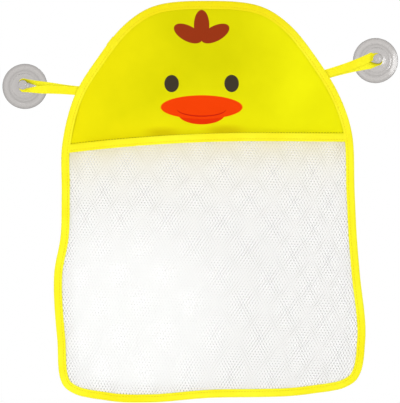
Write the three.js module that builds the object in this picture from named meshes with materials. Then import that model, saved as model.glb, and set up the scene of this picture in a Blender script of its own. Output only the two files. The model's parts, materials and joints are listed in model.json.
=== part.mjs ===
// A hanging pouch for bath toys: a woven head panel over a net pocket, bound all round with folded tape,
// with a tape loop on each side that holds a suction cup by its neck.
// Millimetres, +Z up, +Y into the wall. The origin lies on the wall, midway between the two cups.
import * as THREE from "three";

// Clearance between pieces that touch
const FIT = 0.3;

// Cloths and tapes
const CLOTH_THICK = 0.4;
const NET_THICK = 0.4;
const BINDING_THICK = 0.4;
const BINDING_WIDE = 9.2;
const BINDING_ROUND = 0.5;
const STRAP_THICK = 0.5;
const STRAP_WIDE = 9;
const STRAP_NECK_WIDE = 5;
const STRAP_SEWN_LONG = 11;
const STRAP_FLAT_LONG = 22;
const STRAP_ON_EDGE_LONG = 8;
const SEAM_LAP = 8;

// How far the middle of the edge seam stands off the wall
const SEAM_STANDOFF = 8;

// Outline of the head, as half widths about the pouch's centre line
const CENTRE_X = 7.5;
const CROWN_Z = 79;
const CROWN_FLAT_HALF = 58;
const CROWN_FLAT_Z = 73.3;
const BROW_HALF = 90;
const BROW_Z = 53.5;
const CHEEK_HALF = 122;
const CHEEK_Z = 14;
const JAW_HALF = 146;
const JAW_Z = -26;

// The pocket's mouth: level on the right, drooping towards its left end
const MOUTH_HALF = 159.5;
const MOUTH_Z = -67;
const MOUTH_DROOP = 13;
const MOUTH_DROOP_RUN = 223;
const MOUTH_BINDING_TALL = 9.2;

// Outline of the pocket, which hangs a little wider on the right
const WAIST_Z = -130;
const WAIST_LEFT = 160;
const WAIST_RIGHT = 162.4;
const BELLY_Z = -180;
const BELLY_LEFT = 161.2;
const BELLY_RIGHT = 164.8;
const HIP_Z = -222;
const HIP_LEFT = 168.3;
const HIP_RIGHT = 168.2;
const THIGH_Z = -292;
const THIGH_LEFT = 165;
const THIGH_RIGHT = 174.2;
const CORNER_LEFT_OUT = 156.5;
const CORNER_LEFT_Z = -346.3;
const CORNER_RIGHT_OUT = 163.1;
const CORNER_RIGHT_Z = -339.3;
const BASE_LEFT_OUT = 108;
const BASE_LEFT_Z = -361;
const BASE_LOW_OUT = 61;
const BASE_LOW_Z = -362.8;
const BASE_MID_Z = -358;
const BASE_RIGHT_OUT = 109;
const BASE_RIGHT_Z = -354;

// How far the pocket net stands forward of its seam: at the mouth, and the bulge below it
const MOUTH_GAPE = 15;
const POCKET_BULGE = 18;

// The nets' honeycomb, drawn much coarser than the knitted one
const NET_COLUMNS = 11;
const NET_ROWS = 10;
const NET_STRAND = 6;
const NET_ZIGZAG = 4;
const NET_MARGIN = 0.5;
const NET_EDGE_BACK = 1;

// Suction cups, from the wall outwards
const LIP_RADIUS = 25;
const LIP_THICK = 1;
const SEAL_WIDE = 4;
const HOLLOW_DEEP = 3.2;
const BELL_RADIUS = 13.5;
const BELL_FOOT = 3.4;
const BELL_WALL = 2.2;
const BELL_CROWN = 2.8;
const NECK_RADIUS = 4.6;
const NECK_PLAY = 0.5;
const KNOB_RADIUS = 6.4;
const KNOB_TALL = 6;

// Each hanging tape: the height where it is sewn to the edge, its free reach to the cup, and its rise
const STRAP_LEFT_Z = -19.9;
const STRAP_LEFT_REACH = 57.7;
const STRAP_LEFT_RISE_DEGREES = 5.15;
const STRAP_RIGHT_Z = -1.4;
const STRAP_RIGHT_REACH = 55.6;
const STRAP_RIGHT_RISE_DEGREES = 15.85;

// Facets
const DOME_STEPS = 44;
const CUP_SIDES = 32;
const LEG_STEPS = 20;
const TURN_STEPS = 10;
const NOSE_STEPS = 6;
const HOLLOW_STEPS = 4;
const KNOB_STEPS = 6;
const EDGE_STEPS = 400;
const HEIGHT_STEPS = 40;

const CLOTH_YELLOW = new THREE.MeshStandardMaterial({ color: 0xe2dc12, roughness: 0.75, metalness: 0 });
const TAPE_YELLOW = new THREE.MeshStandardMaterial({ color: 0xfdf02a, roughness: 0.7, metalness: 0 });
const NET_WHITE = new THREE.MeshStandardMaterial({ color: 0xf6f5f2, roughness: 0.8, metalness: 0 });
const CLEAR_PVC = new THREE.MeshStandardMaterial({
  color: 0xc9c6c2,
  roughness: 0.15,
  metalness: 0,
  transparent: true,
  opacity: 0.55,
});

// Layers through the seam, from the wall outwards
const MOUTH_HALF_THICK = NET_THICK / 2 + FIT + BINDING_THICK;
const SEAM_Y = -SEAM_STANDOFF;
const BACK_NET_Y = SEAM_Y + (FIT + NET_THICK) / 2;
const PANEL_Y = SEAM_Y - (FIT + CLOTH_THICK) / 2;
const POCKET_NET_Y = SEAM_Y - FIT / 2 - MOUTH_HALF_THICK;
const SLOT_BACK_Y = BACK_NET_Y + NET_THICK / 2 + FIT;
const SLOT_FRONT_Y = POCKET_NET_Y - NET_THICK / 2 - FIT;
const EDGE_INSET = BINDING_THICK + FIT;
const STRAP_HALF_THICK = STRAP_THICK + FIT / 2;
const STRAP_Y = SLOT_BACK_Y + BINDING_THICK + FIT + STRAP_HALF_THICK;
const NECK_FOOT = BELL_FOOT + BELL_WALL + BELL_CROWN;
const NECK_LONG = STRAP_NECK_WIDE + 2 * NECK_PLAY;
const NECK_TAPE_Y = -(NECK_FOOT + NECK_LONG / 2);

const smooth = (from, to, x) => THREE.MathUtils.smoothstep(x, from, to);
const mix = THREE.MathUtils.lerp;

// Height of the mouth's top edge across the pouch
function mouthTop(x) {
  const level = CENTRE_X + MOUTH_HALF - (2 * MOUTH_HALF - MOUTH_DROOP_RUN);
  const t = THREE.MathUtils.clamp((level - x) / MOUTH_DROOP_RUN, 0, 1);
  return MOUTH_Z - MOUTH_DROOP * t * t;
}

// The outer edge of the pouch, clockwise from the crown as seen from the front
const at = (out, z) => new THREE.Vector3(CENTRE_X + out, 0, z);
const mouthEnd = (out) => at(out, mouthTop(CENTRE_X + out));
const RIGHT_SIDE = [
  at(CROWN_FLAT_HALF, CROWN_FLAT_Z),
  at(BROW_HALF, BROW_Z),
  at(CHEEK_HALF, CHEEK_Z),
  at(JAW_HALF, JAW_Z),
  mouthEnd(MOUTH_HALF),
  at(WAIST_RIGHT, WAIST_Z),
  at(BELLY_RIGHT, BELLY_Z),
  at(HIP_RIGHT, HIP_Z),
  at(THIGH_RIGHT, THIGH_Z),
  at(CORNER_RIGHT_OUT, CORNER_RIGHT_Z),
  at(BASE_RIGHT_OUT, BASE_RIGHT_Z),
];
const LEFT_SIDE = [
  at(-BASE_LOW_OUT, BASE_LOW_Z),
  at(-BASE_LEFT_OUT, BASE_LEFT_Z),
  at(-CORNER_LEFT_OUT, CORNER_LEFT_Z),
  at(-THIGH_LEFT, THIGH_Z),
  at(-HIP_LEFT, HIP_Z),
  at(-BELLY_LEFT, BELLY_Z),
  at(-WAIST_LEFT, WAIST_Z),
  mouthEnd(-MOUTH_HALF),
  at(-JAW_HALF, JAW_Z),
  at(-CHEEK_HALF, CHEEK_Z),
  at(-BROW_HALF, BROW_Z),
  at(-CROWN_FLAT_HALF, CROWN_FLAT_Z),
];
const OUTLINE_POINTS = [at(0, CROWN_Z), ...RIGHT_SIDE, at(0, BASE_MID_Z), ...LEFT_SIDE];
const OUTLINE = new THREE.CatmullRomCurve3(OUTLINE_POINTS, true, "centripetal");
const knot = (point) => OUTLINE_POINTS.indexOf(point) / OUTLINE_POINTS.length;
const MOUTH_RIGHT_T = knot(RIGHT_SIDE[4]);
const CORNER_RIGHT_T = knot(RIGHT_SIDE[9]);
const CORNER_LEFT_T = knot(LEFT_SIDE[2]);
const MOUTH_LEFT_T = knot(LEFT_SIDE[7]);

// A point of the outline, moved inwards in the pouch's plane
function edgePoint(t, inset) {
  const along = OUTLINE.getTangent(t);
  const point = OUTLINE.getPoint(t);
  return new THREE.Vector3(point.x + along.z * inset, 0, point.z - along.x * inset);
}

// The place on a side of the outline, between two others, that lies at a height
function edgeAtHeight(from, to, z) {
  const rising = OUTLINE.getPoint(to).z > OUTLINE.getPoint(from).z;
  let low = from;
  let high = to;
  for (let i = 0; i < HEIGHT_STEPS; i += 1) {
    const middle = (low + high) / 2;
    if (OUTLINE.getPoint(middle).z < z === rising) low = middle;
    else high = middle;
  }
  return low;
}

// Where the open net starts on each side, just under the mouth's binding
const NET_TOP_DROP = MOUTH_BINDING_TALL + NET_MARGIN;
const underMouth = (mouth, corner) => edgeAtHeight(mouth, corner, OUTLINE.getPoint(mouth).z - NET_TOP_DROP);
const NET_RIGHT_T = underMouth(MOUTH_RIGHT_T, CORNER_RIGHT_T);
const NET_LEFT_T = underMouth(MOUTH_LEFT_T, CORNER_LEFT_T);
const NET_INSET = BINDING_WIDE + NET_MARGIN;
const MOUTH_RIGHT_X = edgePoint(NET_RIGHT_T, NET_INSET).x;
const MOUTH_LEFT_X = edgePoint(NET_LEFT_T, NET_INSET).x;
// A place on the head's edge, well past the end of the mouth that a corner of the pocket lies under
const pastMouth = (mouth, corner) => mouth + Math.sign(mouth - corner) / OUTLINE_POINTS.length;

// Places from one point of the outline to another, equally spaced along it
function spaced(from, to, steps) {
  const lengths = [0];
  const ts = [from];
  for (let i = 1; i <= EDGE_STEPS; i += 1) {
    ts.push(mix(from, to, i / EDGE_STEPS));
    lengths.push(lengths[i - 1] + OUTLINE.getPoint(ts[i]).distanceTo(OUTLINE.getPoint(ts[i - 1])));
  }
  const places = [from];
  let k = 1;
  for (let i = 1; i < steps; i += 1) {
    const want = (lengths[EDGE_STEPS] * i) / steps;
    while (lengths[k] < want) k += 1;
    places.push(mix(ts[k - 1], ts[k], (want - lengths[k - 1]) / (lengths[k] - lengths[k - 1])));
  }
  places.push(to);
  return places;
}

function geometryOf(points, triangles) {
  const geometry = new THREE.BufferGeometry().setFromPoints(points);
  geometry.setIndex(triangles);
  geometry.computeVertexNormals();
  return geometry;
}

// Triangles that fill a flat outline, wound the way the outline runs
function capOf(outline) {
  const flat = outline.map(([u, v]) => new THREE.Vector2(u, v));
  const area = THREE.ShapeUtils.area(flat);
  return THREE.ShapeUtils.triangulateShape(flat, []).map(([p, q, r]) => {
    const turned = THREE.ShapeUtils.area([flat[p], flat[q], flat[r]]) * area < 0;
    return turned ? [p, r, q] : [p, q, r];
  });
}

// A skin through sections of equally many points. An open run of sections is capped at both ends.
// Opposite walls are split along the same diagonal, so that a thin twisted band keeps its thickness.
function loft(sections, closed, capFaces = []) {
  const size = sections[0].length;
  const triangles = [];
  const last = closed ? sections.length : sections.length - 1;
  for (let i = 0; i < last; i += 1) {
    const a = i * size;
    const b = ((i + 1) % sections.length) * size;
    for (let j = 0; j < size; j += 1) {
      const k = (j + 1) % size;
      if (j < size / 2) triangles.push(a + j, b + j, b + k, a + j, b + k, a + k);
      else triangles.push(a + j, b + j, a + k, b + j, b + k, a + k);
    }
  }
  const end = (sections.length - 1) * size;
  for (const [p, q, r] of capFaces) triangles.push(p, q, r, end + p, end + r, end + q);
  return geometryOf(sections.flat(), triangles);
}

// Folded tape in section: its fold lies at 0, its two legs run along u, and it encloses v from front to back
function foldedTape(legLong, front, back) {
  const round = Math.min(BINDING_ROUND, 1.5 * BINDING_THICK);
  const outFront = front - BINDING_THICK;
  const outBack = back + BINDING_THICK;
  return [
    [legLong, outBack],
    [legLong, back],
    [BINDING_THICK, back],
    [BINDING_THICK, front],
    [legLong, front],
    [legLong, outFront],
    [round, outFront],
    [0, outFront + round],
    [0, outBack - round],
    [round, outBack],
  ];
}

// Head panel: one flat ply, from inside the binding down to its hem above the mouth
function headPanel() {
  const rim = spaced(MOUTH_LEFT_T, 1 + MOUTH_RIGHT_T, DOME_STEPS).map((t) => edgePoint(t % 1, EDGE_INSET));
  const left = rim[0];
  const right = rim[rim.length - 1];
  const hem = [];
  for (let i = 0; i <= 2 * NET_COLUMNS; i += 1) {
    const x = mix(right.x, left.x, i / (2 * NET_COLUMNS));
    hem.push(new THREE.Vector2(x, mouthTop(x) + FIT));
  }
  const above = rim.filter((p) => p.z > mouthTop(p.x) + FIT).map((p) => new THREE.Vector2(p.x, p.z));
  const shape = new THREE.Shape([...above, ...hem]);
  const geometry = new THREE.ExtrudeGeometry(shape, { depth: CLOTH_THICK, bevelEnabled: false });
  return geometry.rotateX(Math.PI / 2).translate(0, PANEL_Y + CLOTH_THICK / 2, 0);
}

// Depth of the pocket net in front of its seam, across and down the pocket
function pocketDepth(across, down) {
  const bow = 4 * across * (1 - across);
  const hang = MOUTH_GAPE * (1 - down) ** 2 + POCKET_BULGE * 4 * down * (1 - down);
  return bow * hang;
}

// A thin sheet that faces the front: points have a copy on each side of it
function sheet(y, thick) {
  const points = [];
  const triangles = [];
  return {
    // A point of the pouch's plane, brought forward; gives the index of its front copy
    add(p, forward) {
      points.push(new THREE.Vector3(p.x, y - forward - thick / 2, p.z));
      points.push(new THREE.Vector3(p.x, y - forward + thick / 2, p.z));
      return points.length - 2;
    },
    // A face on both sides, its corners clockwise as seen from the front
    face(...corners) {
      for (let i = 1; i < corners.length - 1; i += 1) {
        const [a, b, c] = [corners[0], corners[i], corners[i + 1]];
        triangles.push(a, c, b, a + 1, b + 1, c + 1);
      }
    },
    // The rim along free edges, with the sheet on the right of each as seen from the front
    rim(...corners) {
      for (let i = 0; i < corners.length - 1; i += 1) {
        const [a, b] = [corners[i], corners[i + 1]];
        triangles.push(a, b, b + 1, a, b + 1, a + 1);
      }
    },
    geometry: () => geometryOf(points, triangles),
  };
}

// A net cut to the pocket's outline: a honeycomb of gaps, in a plain border that the bindings hold.
// topRise is how far its top edge stands above the mouth's top edge.
function netPanel(y, depth, topRise) {
  const steps = 2 * NET_COLUMNS;
  const leftTs = spaced(CORNER_LEFT_T, NET_LEFT_T, NET_ROWS).reverse();
  const rightTs = spaced(NET_RIGHT_T, CORNER_RIGHT_T, NET_ROWS);
  const baseTs = spaced(CORNER_RIGHT_T, CORNER_LEFT_T, steps).reverse();
  const [left, right, base] = [leftTs, rightTs, baseTs].map((ts) => ts.map((t) => edgePoint(t, NET_INSET)));
  const top = base.map((_, k) => {
    const x = mix(MOUTH_LEFT_X, MOUTH_RIGHT_X, k / steps);
    return new THREE.Vector3(x, 0, mouthTop(x) - NET_TOP_DROP);
  });
  const tall = left[0].distanceTo(left[NET_ROWS]);
  const net = sheet(y, NET_THICK);

  // A patch between the four edges. Its inner rows zigzag, so that the cells have six sides.
  const spot = (j, k) => {
    const [u, v] = [k / steps, j / NET_ROWS];
    const between = new THREE.Vector3().lerpVectors(left[j], right[j], u);
    between.add(new THREE.Vector3().lerpVectors(top[k], base[k], v));
    const ends = [left[0].clone().lerp(right[0], u), left[NET_ROWS].clone().lerp(right[NET_ROWS], u)];
    between.sub(ends[0].lerp(ends[1], v));
    const inside = j > 0 && j < NET_ROWS && k > 0 && k < steps;
    const rise = inside ? NET_ZIGZAG * ((k + j) % 2 ? 1 : -1) : 0;
    between.z += rise;
    return { point: between, forward: depth(u, v - rise / tall) };
  };
  const grid = top.map((_, k) => left.map((__, j) => spot(j, k)));
  const index = grid.map((column) => column.map(({ point, forward }) => net.add(point, forward)));

  // One cell with its gap, from its corners clockwise
  const cell = (corners) => {
    const spots = corners.map(([j, k]) => grid[k][j]);
    const outer = corners.map(([j, k]) => index[k][j]);
    const middle = new THREE.Vector3();
    for (const { point } of spots) middle.addScaledVector(point, 1 / spots.length);
    const forward = spots.reduce((sum, s) => sum + s.forward, 0) / spots.length;
    const share = 1 - NET_STRAND / (spots[2].point.x - spots[0].point.x);
    const hole = spots.map((s) => {
      return net.add(middle.clone().lerp(s.point, share), mix(forward, s.forward, share));
    });
    corners.forEach((_, i) => {
      const n = (i + 1) % corners.length;
      net.face(outer[i], outer[n], hole[n], hole[i]);
      net.rim(hole[n], hole[i]);
    });
  };
  for (let j = 0; j < NET_ROWS; j += 1) {
    const shift = j % 2;
    for (let k = shift; k + 2 <= steps; k += 2) {
      cell([[j, k], [j, k + 1], [j, k + 2], [j + 1, k + 2], [j + 1, k + 1], [j + 1, k]]);
    }
    const plain = shift ? [0, steps - 1] : [];
    for (const k of plain) net.face(index[k][j], index[k + 1][j], index[k + 1][j + 1], index[k][j + 1]);
  }

  // The border, up to the top edge and out to the edge that the binding holds
  const held = EDGE_INSET + NET_EDGE_BACK;
  const topZ = (x) => mouthTop(x) + topRise;
  const topEdge = top.map((p, k) => net.add(p.clone().setZ(topZ(p.x)), depth(k / steps, 0)));
  const edge = (ts) => ts.map((t) => net.add(edgePoint(t, held), 0));
  const leftEdge = edge(leftTs);
  const rightEdge = edge(rightTs);
  const baseEdge = [leftEdge[NET_ROWS], ...edge(baseTs.slice(1, -1)), rightEdge[NET_ROWS]];
  const topCorner = (mouth, corner, x) => edge([edgeAtHeight(corner, pastMouth(mouth, corner), topZ(x))])[0];
  const leftCorner = topCorner(MOUTH_LEFT_T, CORNER_LEFT_T, MOUTH_LEFT_X);
  const rightCorner = topCorner(MOUTH_RIGHT_T, CORNER_RIGHT_T, MOUTH_RIGHT_X);
  for (let k = 0; k < steps; k += 1) {
    net.face(topEdge[k], topEdge[k + 1], index[k + 1][0], index[k][0]);
    net.face(index[k][NET_ROWS], index[k + 1][NET_ROWS], baseEdge[k + 1], baseEdge[k]);
  }
  for (let j = 0; j < NET_ROWS; j += 1) {
    net.face(leftEdge[j], index[0][j], index[0][j + 1], leftEdge[j + 1]);
    net.face(index[steps][j], rightEdge[j], rightEdge[j + 1], index[steps][j + 1]);
  }
  net.face(leftCorner, topEdge[0], index[0][0], leftEdge[0]);
  net.face(topEdge[steps], rightCorner, rightEdge[0], index[steps][0]);
  net.rim(leftCorner, ...topEdge, rightCorner, ...rightEdge);
  net.rim(...baseEdge.reverse(), ...leftEdge.reverse().slice(1), leftCorner);
  return net.geometry();
}

// Edge binding: folded tape swept round the whole outline
function edgeBinding() {
  const profile = foldedTape(BINDING_WIDE, SLOT_FRONT_Y, SLOT_BACK_Y);
  const runs = [
    spaced(MOUTH_LEFT_T, 1 + MOUTH_RIGHT_T, DOME_STEPS),
    spaced(MOUTH_RIGHT_T, NET_RIGHT_T, 1),
    spaced(NET_RIGHT_T, CORNER_RIGHT_T, 2 * NET_ROWS),
    spaced(CORNER_RIGHT_T, CORNER_LEFT_T, 2 * NET_COLUMNS),
    spaced(CORNER_LEFT_T, NET_LEFT_T, 2 * NET_ROWS),
    spaced(NET_LEFT_T, MOUTH_LEFT_T, 1),
  ];
  const places = runs.flatMap((run) => run.slice(0, -1));
  const sections = places.map((t) => profile.map(([u, v]) => edgePoint(t % 1, u).setY(v)));
  return loft(sections, true);
}

// Mouth binding: folded tape over the pocket net's top edge, from side to side inside the edge binding
function mouthBinding() {
  const slotHalf = NET_THICK / 2 + FIT;
  const profile = foldedTape(MOUTH_BINDING_TALL, -slotHalf, slotHalf);
  const inset = BINDING_WIDE + 2 * FIT;
  const sideX = (mouth, corner, z) => edgePoint(edgeAtHeight(corner, pastMouth(mouth, corner), z), inset).x;
  const steps = 2 * NET_COLUMNS;
  const sections = [];
  for (let k = 0; k <= steps; k += 1) {
    const u = k / steps;
    const z = mouthTop(mix(MOUTH_LEFT_X, MOUTH_RIGHT_X, u));
    sections.push(
      profile.map(([drop, v]) => {
        const leftX = sideX(MOUTH_LEFT_T, CORNER_LEFT_T, z - drop);
        const rightX = sideX(MOUTH_RIGHT_T, CORNER_RIGHT_T, z - drop);
        const x = mix(leftX, rightX, u);
        const across = THREE.MathUtils.clamp((x - MOUTH_LEFT_X) / (MOUTH_RIGHT_X - MOUTH_LEFT_X), 0, 1);
        return new THREE.Vector3(x, POCKET_NET_Y - pocketDepth(across, 0) + v, mouthTop(x) - drop);
      }),
    );
  }
  return loft(sections, false, capOf(profile));
}

// Suction cup: one moulded body, turned about the wall's normal
function suctionCup() {
  const profile = [];
  const sealInner = LIP_RADIUS - SEAL_WIDE;
  for (let i = 0; i <= HOLLOW_STEPS; i += 1) {
    const share = i / HOLLOW_STEPS;
    profile.push([sealInner * share, HOLLOW_DEEP * (1 - share * share)]);
  }
  profile.push(
    [LIP_RADIUS, 0],
    [LIP_RADIUS, LIP_THICK / 2],
    [LIP_RADIUS - LIP_THICK, LIP_THICK],
    [BELL_RADIUS + BELL_WALL / 2, BELL_FOOT],
    [BELL_RADIUS, BELL_FOOT + BELL_WALL],
    [(BELL_RADIUS + NECK_RADIUS) / 2, NECK_FOOT - BELL_CROWN / 4],
    [NECK_RADIUS, NECK_FOOT],
  );
  // The knob is a flattened ball that the neck runs into
  const neckTop = NECK_FOOT + NECK_LONG;
  const start = -Math.acos(NECK_RADIUS / KNOB_RADIUS);
  const middle = neckTop - (KNOB_TALL / 2) * Math.sin(start);
  for (let i = 0; i <= KNOB_STEPS; i += 1) {
    const angle = mix(start, Math.PI / 2, i / KNOB_STEPS);
    profile.push([KNOB_RADIUS * Math.cos(angle), middle + (KNOB_TALL / 2) * Math.sin(angle)]);
  }
  const points = profile.map(([radius, height]) => new THREE.Vector2(radius, -height));
  points[points.length - 1].x = 0;
  return new THREE.LatheGeometry(points.reverse(), CUP_SIDES);
}

// A hanging tape in its own frame: X outwards from the pouch's edge, Y into the wall, Z along the edge,
// with the fold on the Z axis. reach runs from the fold to the middle of the cup's neck.
function strapParts(reach) {
  const run = new THREE.Vector3(reach.x, 0, reach.z);
  const long = run.length();
  const along = run.normalize();
  const across = new THREE.Vector3(-along.z, 0, along.x);
  const intoWall = new THREE.Vector3(0, 1, 0);
  const slant = along.z / along.x;
  const turnRadius = NECK_RADIUS + FIT + STRAP_THICK / 2;
  const plyApart = (STRAP_THICK + FIT) / 2;

  // One cross-section of the tape; skew turns its ends parallel to the pouch's edge
  const section = (middle, out, wide, width, skew) => {
    const corner = (a, b) => {
      const point = middle.clone().addScaledVector(out, (a * STRAP_THICK) / 2);
      point.addScaledVector(wide, (b * width) / 2);
      return point.addScaledVector(along, (slant * b * width * skew) / 2);
    };
    return [corner(1, 1), corner(-1, 1), corner(-1, -1), corner(1, -1)];
  };
  // The tape lies flat at its root, twists a quarter turn and stands on edge at the neck
  const leg = (share, side) => {
    const distance = share * long;
    const turned = smooth(STRAP_FLAT_LONG, long - STRAP_ON_EDGE_LONG, distance);
    const twist = (Math.PI / 2) * turned;
    const out = intoWall.clone().multiplyScalar(-Math.cos(twist)).addScaledVector(across, Math.sin(twist));
    const wide = across.clone().multiplyScalar(Math.cos(twist)).addScaledVector(intoWall, Math.sin(twist));
    const middle = along.clone().multiplyScalar(distance).setY(reach.y * smooth(0, long, distance));
    middle.addScaledVector(out, side * mix(plyApart, turnRadius, turned));
    const skew = 1 - smooth(0, STRAP_FLAT_LONG, distance);
    const width = mix(STRAP_WIDE, STRAP_NECK_WIDE, turned);
    return section(middle, out.multiplyScalar(side), wide, width, skew);
  };
  // Round the cup's neck, and round the fold at the pouch's edge
  const neck = along.clone().multiplyScalar(long).setY(reach.y);
  const turn = (angle) => {
    const out = across.clone().multiplyScalar(Math.cos(angle)).addScaledVector(along, Math.sin(angle));
    return section(neck.clone().addScaledVector(out, turnRadius), out, intoWall, STRAP_NECK_WIDE, 0);
  };
  const nose = (angle) => {
    const out = new THREE.Vector3(-Math.sin(angle), Math.cos(angle), 0);
    return section(out.clone().multiplyScalar(plyApart), out, across, STRAP_WIDE, 1);
  };
  const sections = [];
  for (let i = 0; i <= LEG_STEPS; i += 1) sections.push(leg(i / LEG_STEPS, 1));
  for (let i = 1; i < TURN_STEPS; i += 1) sections.push(turn((Math.PI * i) / TURN_STEPS));
  for (let i = LEG_STEPS; i >= 0; i -= 1) sections.push(leg(i / LEG_STEPS, -1));
  for (let i = 1; i < NOSE_STEPS; i += 1) sections.push(nose((Math.PI * i) / NOSE_STEPS));
  const loop = loft(sections, true);

  // The sewn end lies behind the edge binding, in line with the tape: both plies as one
  const edgeWide = STRAP_WIDE / along.x;
  const end = STRAP_HALF_THICK + FIT;
  const root = new THREE.BoxGeometry(STRAP_SEWN_LONG, 2 * STRAP_HALF_THICK, edgeWide);
  root.translate(-end - STRAP_SEWN_LONG / 2, 0, 0);
  root.applyMatrix4(new THREE.Matrix4().makeShear(0, slant, 0, 0, 0, 0));
  return { loop, root };
}

function mesh(name, geometry, material) {
  const made = new THREE.Mesh(geometry, material);
  made.name = name;
  return made;
}

// One hanging tape with its cup. side is -1 on the left and 1 on the right.
// The sewn root stays with the pouch, and the loop folds about its group's Z axis.
function hangingTape(name, side, edgeT, reach, riseDegrees) {
  const fold = edgePoint(edgeT, -(STRAP_HALF_THICK + FIT)).setY(STRAP_Y);
  const outwards = fold.clone().sub(edgePoint(edgeT, 0)).setY(0).normalize();
  const rise = THREE.MathUtils.degToRad(riseDegrees);
  const toCup = new THREE.Vector3(side * Math.cos(rise), 0, Math.sin(rise)).multiplyScalar(reach);
  const cupCentre = fold.clone().add(toCup).setY(0);
  const pivot = new THREE.Group();
  pivot.position.copy(fold);
  pivot.rotation.y = Math.atan2(-outwards.z, outwards.x);
  pivot.updateMatrixWorld(true);
  const parts = strapParts(pivot.worldToLocal(cupCentre.clone().setY(NECK_TAPE_Y)));
  const cup = mesh(`${name}_suction_cup`, suctionCup(), CLEAR_PVC);
  cup.position.copy(pivot.worldToLocal(cupCentre.clone()));
  pivot.add(mesh(`${name}_strap_loop`, parts.loop, TAPE_YELLOW), cup);

  const sewn = new THREE.Group();
  sewn.position.copy(pivot.position);
  sewn.rotation.copy(pivot.rotation);
  sewn.add(mesh(`${name}_strap_root`, parts.root, TAPE_YELLOW));
  return { groups: [sewn, pivot], cupCentre };
}

const leftT = edgeAtHeight(MOUTH_LEFT_T, 1, STRAP_LEFT_Z);
const rightT = edgeAtHeight(0, MOUTH_RIGHT_T, STRAP_RIGHT_Z);
const left = hangingTape("left", -1, leftT, STRAP_LEFT_REACH, STRAP_LEFT_RISE_DEGREES);
const right = hangingTape("right", 1, rightT, STRAP_RIGHT_REACH, STRAP_RIGHT_RISE_DEGREES);

const organizer = new THREE.Group();
organizer.add(
  mesh("head_panel", headPanel(), CLOTH_YELLOW),
  mesh("back_net", netPanel(BACK_NET_Y, () => 0, FIT + SEAM_LAP), NET_WHITE),
  mesh("pocket_net", netPanel(POCKET_NET_Y, pocketDepth, -EDGE_INSET), NET_WHITE),
  mesh("mouth_binding", mouthBinding(), TAPE_YELLOW),
  mesh("edge_binding", edgeBinding(), TAPE_YELLOW),
  ...left.groups,
  ...right.groups,
);
// The origin goes midway between the two cups
organizer.position.lerpVectors(left.cupCentre, right.cupCentre, 0.5).negate();

export default organizer;
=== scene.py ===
# %% [markdown]
# # A hanging net pouch for bath toys
#
# The pouch is sewn from a woven head panel, two layers of knitted net and folded tape, and it hangs on a
# smooth wall by two suction cups in tape loops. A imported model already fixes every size, place and joint.
# This lesson gives it cloth, thread and clear vinyl, and keeps each piece where its plain solid lies.

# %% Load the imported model
import json
import math

import bmesh
import bpy
import numpy as np
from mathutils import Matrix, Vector
from mathutils.kdtree import KDTree


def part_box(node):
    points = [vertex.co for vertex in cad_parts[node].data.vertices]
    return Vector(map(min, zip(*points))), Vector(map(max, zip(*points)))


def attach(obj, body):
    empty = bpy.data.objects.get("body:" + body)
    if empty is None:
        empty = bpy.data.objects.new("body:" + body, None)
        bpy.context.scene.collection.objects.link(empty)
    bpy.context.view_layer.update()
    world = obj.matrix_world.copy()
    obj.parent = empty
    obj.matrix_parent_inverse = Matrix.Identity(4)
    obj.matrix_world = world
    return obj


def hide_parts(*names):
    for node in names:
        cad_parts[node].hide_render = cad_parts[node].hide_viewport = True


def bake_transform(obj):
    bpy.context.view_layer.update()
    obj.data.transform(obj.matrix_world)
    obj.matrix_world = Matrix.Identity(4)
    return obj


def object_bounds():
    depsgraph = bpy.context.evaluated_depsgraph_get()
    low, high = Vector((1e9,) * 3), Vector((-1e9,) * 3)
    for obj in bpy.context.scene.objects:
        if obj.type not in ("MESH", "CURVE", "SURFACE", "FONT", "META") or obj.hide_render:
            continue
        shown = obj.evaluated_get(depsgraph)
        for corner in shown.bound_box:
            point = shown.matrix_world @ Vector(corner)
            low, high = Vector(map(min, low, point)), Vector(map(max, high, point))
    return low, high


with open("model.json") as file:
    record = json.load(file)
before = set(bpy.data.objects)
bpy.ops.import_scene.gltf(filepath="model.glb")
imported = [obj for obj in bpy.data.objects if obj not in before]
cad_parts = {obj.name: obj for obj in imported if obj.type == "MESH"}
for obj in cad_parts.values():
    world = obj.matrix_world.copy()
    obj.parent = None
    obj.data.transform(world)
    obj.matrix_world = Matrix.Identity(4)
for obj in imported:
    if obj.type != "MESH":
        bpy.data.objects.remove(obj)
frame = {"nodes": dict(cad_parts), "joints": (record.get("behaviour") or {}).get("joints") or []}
CAD_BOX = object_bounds()
MM = 0.001
SCENE = bpy.context.scene
print("plain solids:", ", ".join(frame["nodes"]))

# %% [markdown]
# ## The camera
#
# The photograph is a flat product shot, taken square on. A long lens from 1.2 m keeps the two suction
# cups as round as they are there. The scale of the picture is known, 1.1 mm to a pixel, and so is the
# pixel of the frame's origin, midway between the cups, so the lens and the camera's place follow by
# division.

# %% Camera
PHOTO_WIDE = 400
PHOTO_TALL = 403
PIXEL = 1.1 * MM
ORIGIN_PIXEL_X = 200.25
ORIGIN_PIXEL_Y = 72.6
CAMERA_AWAY = 1.2
SENSOR_MM = 36

camera = bpy.data.objects.new("camera", bpy.data.cameras.new("camera"))
SCENE.collection.objects.link(camera)
camera.data.sensor_width = SENSOR_MM
camera.data.lens = SENSOR_MM * CAMERA_AWAY / (PHOTO_TALL * PIXEL)
camera.location = (
    (PHOTO_WIDE / 2 - ORIGIN_PIXEL_X) * PIXEL,
    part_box("head_panel")[0].y - CAMERA_AWAY,
    (ORIGIN_PIXEL_Y - PHOTO_TALL / 2) * PIXEL,
)
camera.rotation_euler = (math.radians(90), 0, 0)
SCENE.camera = camera
SCENE.view_settings.view_transform = "Standard"
print(f"lens {camera.data.lens:.1f} mm")

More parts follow.
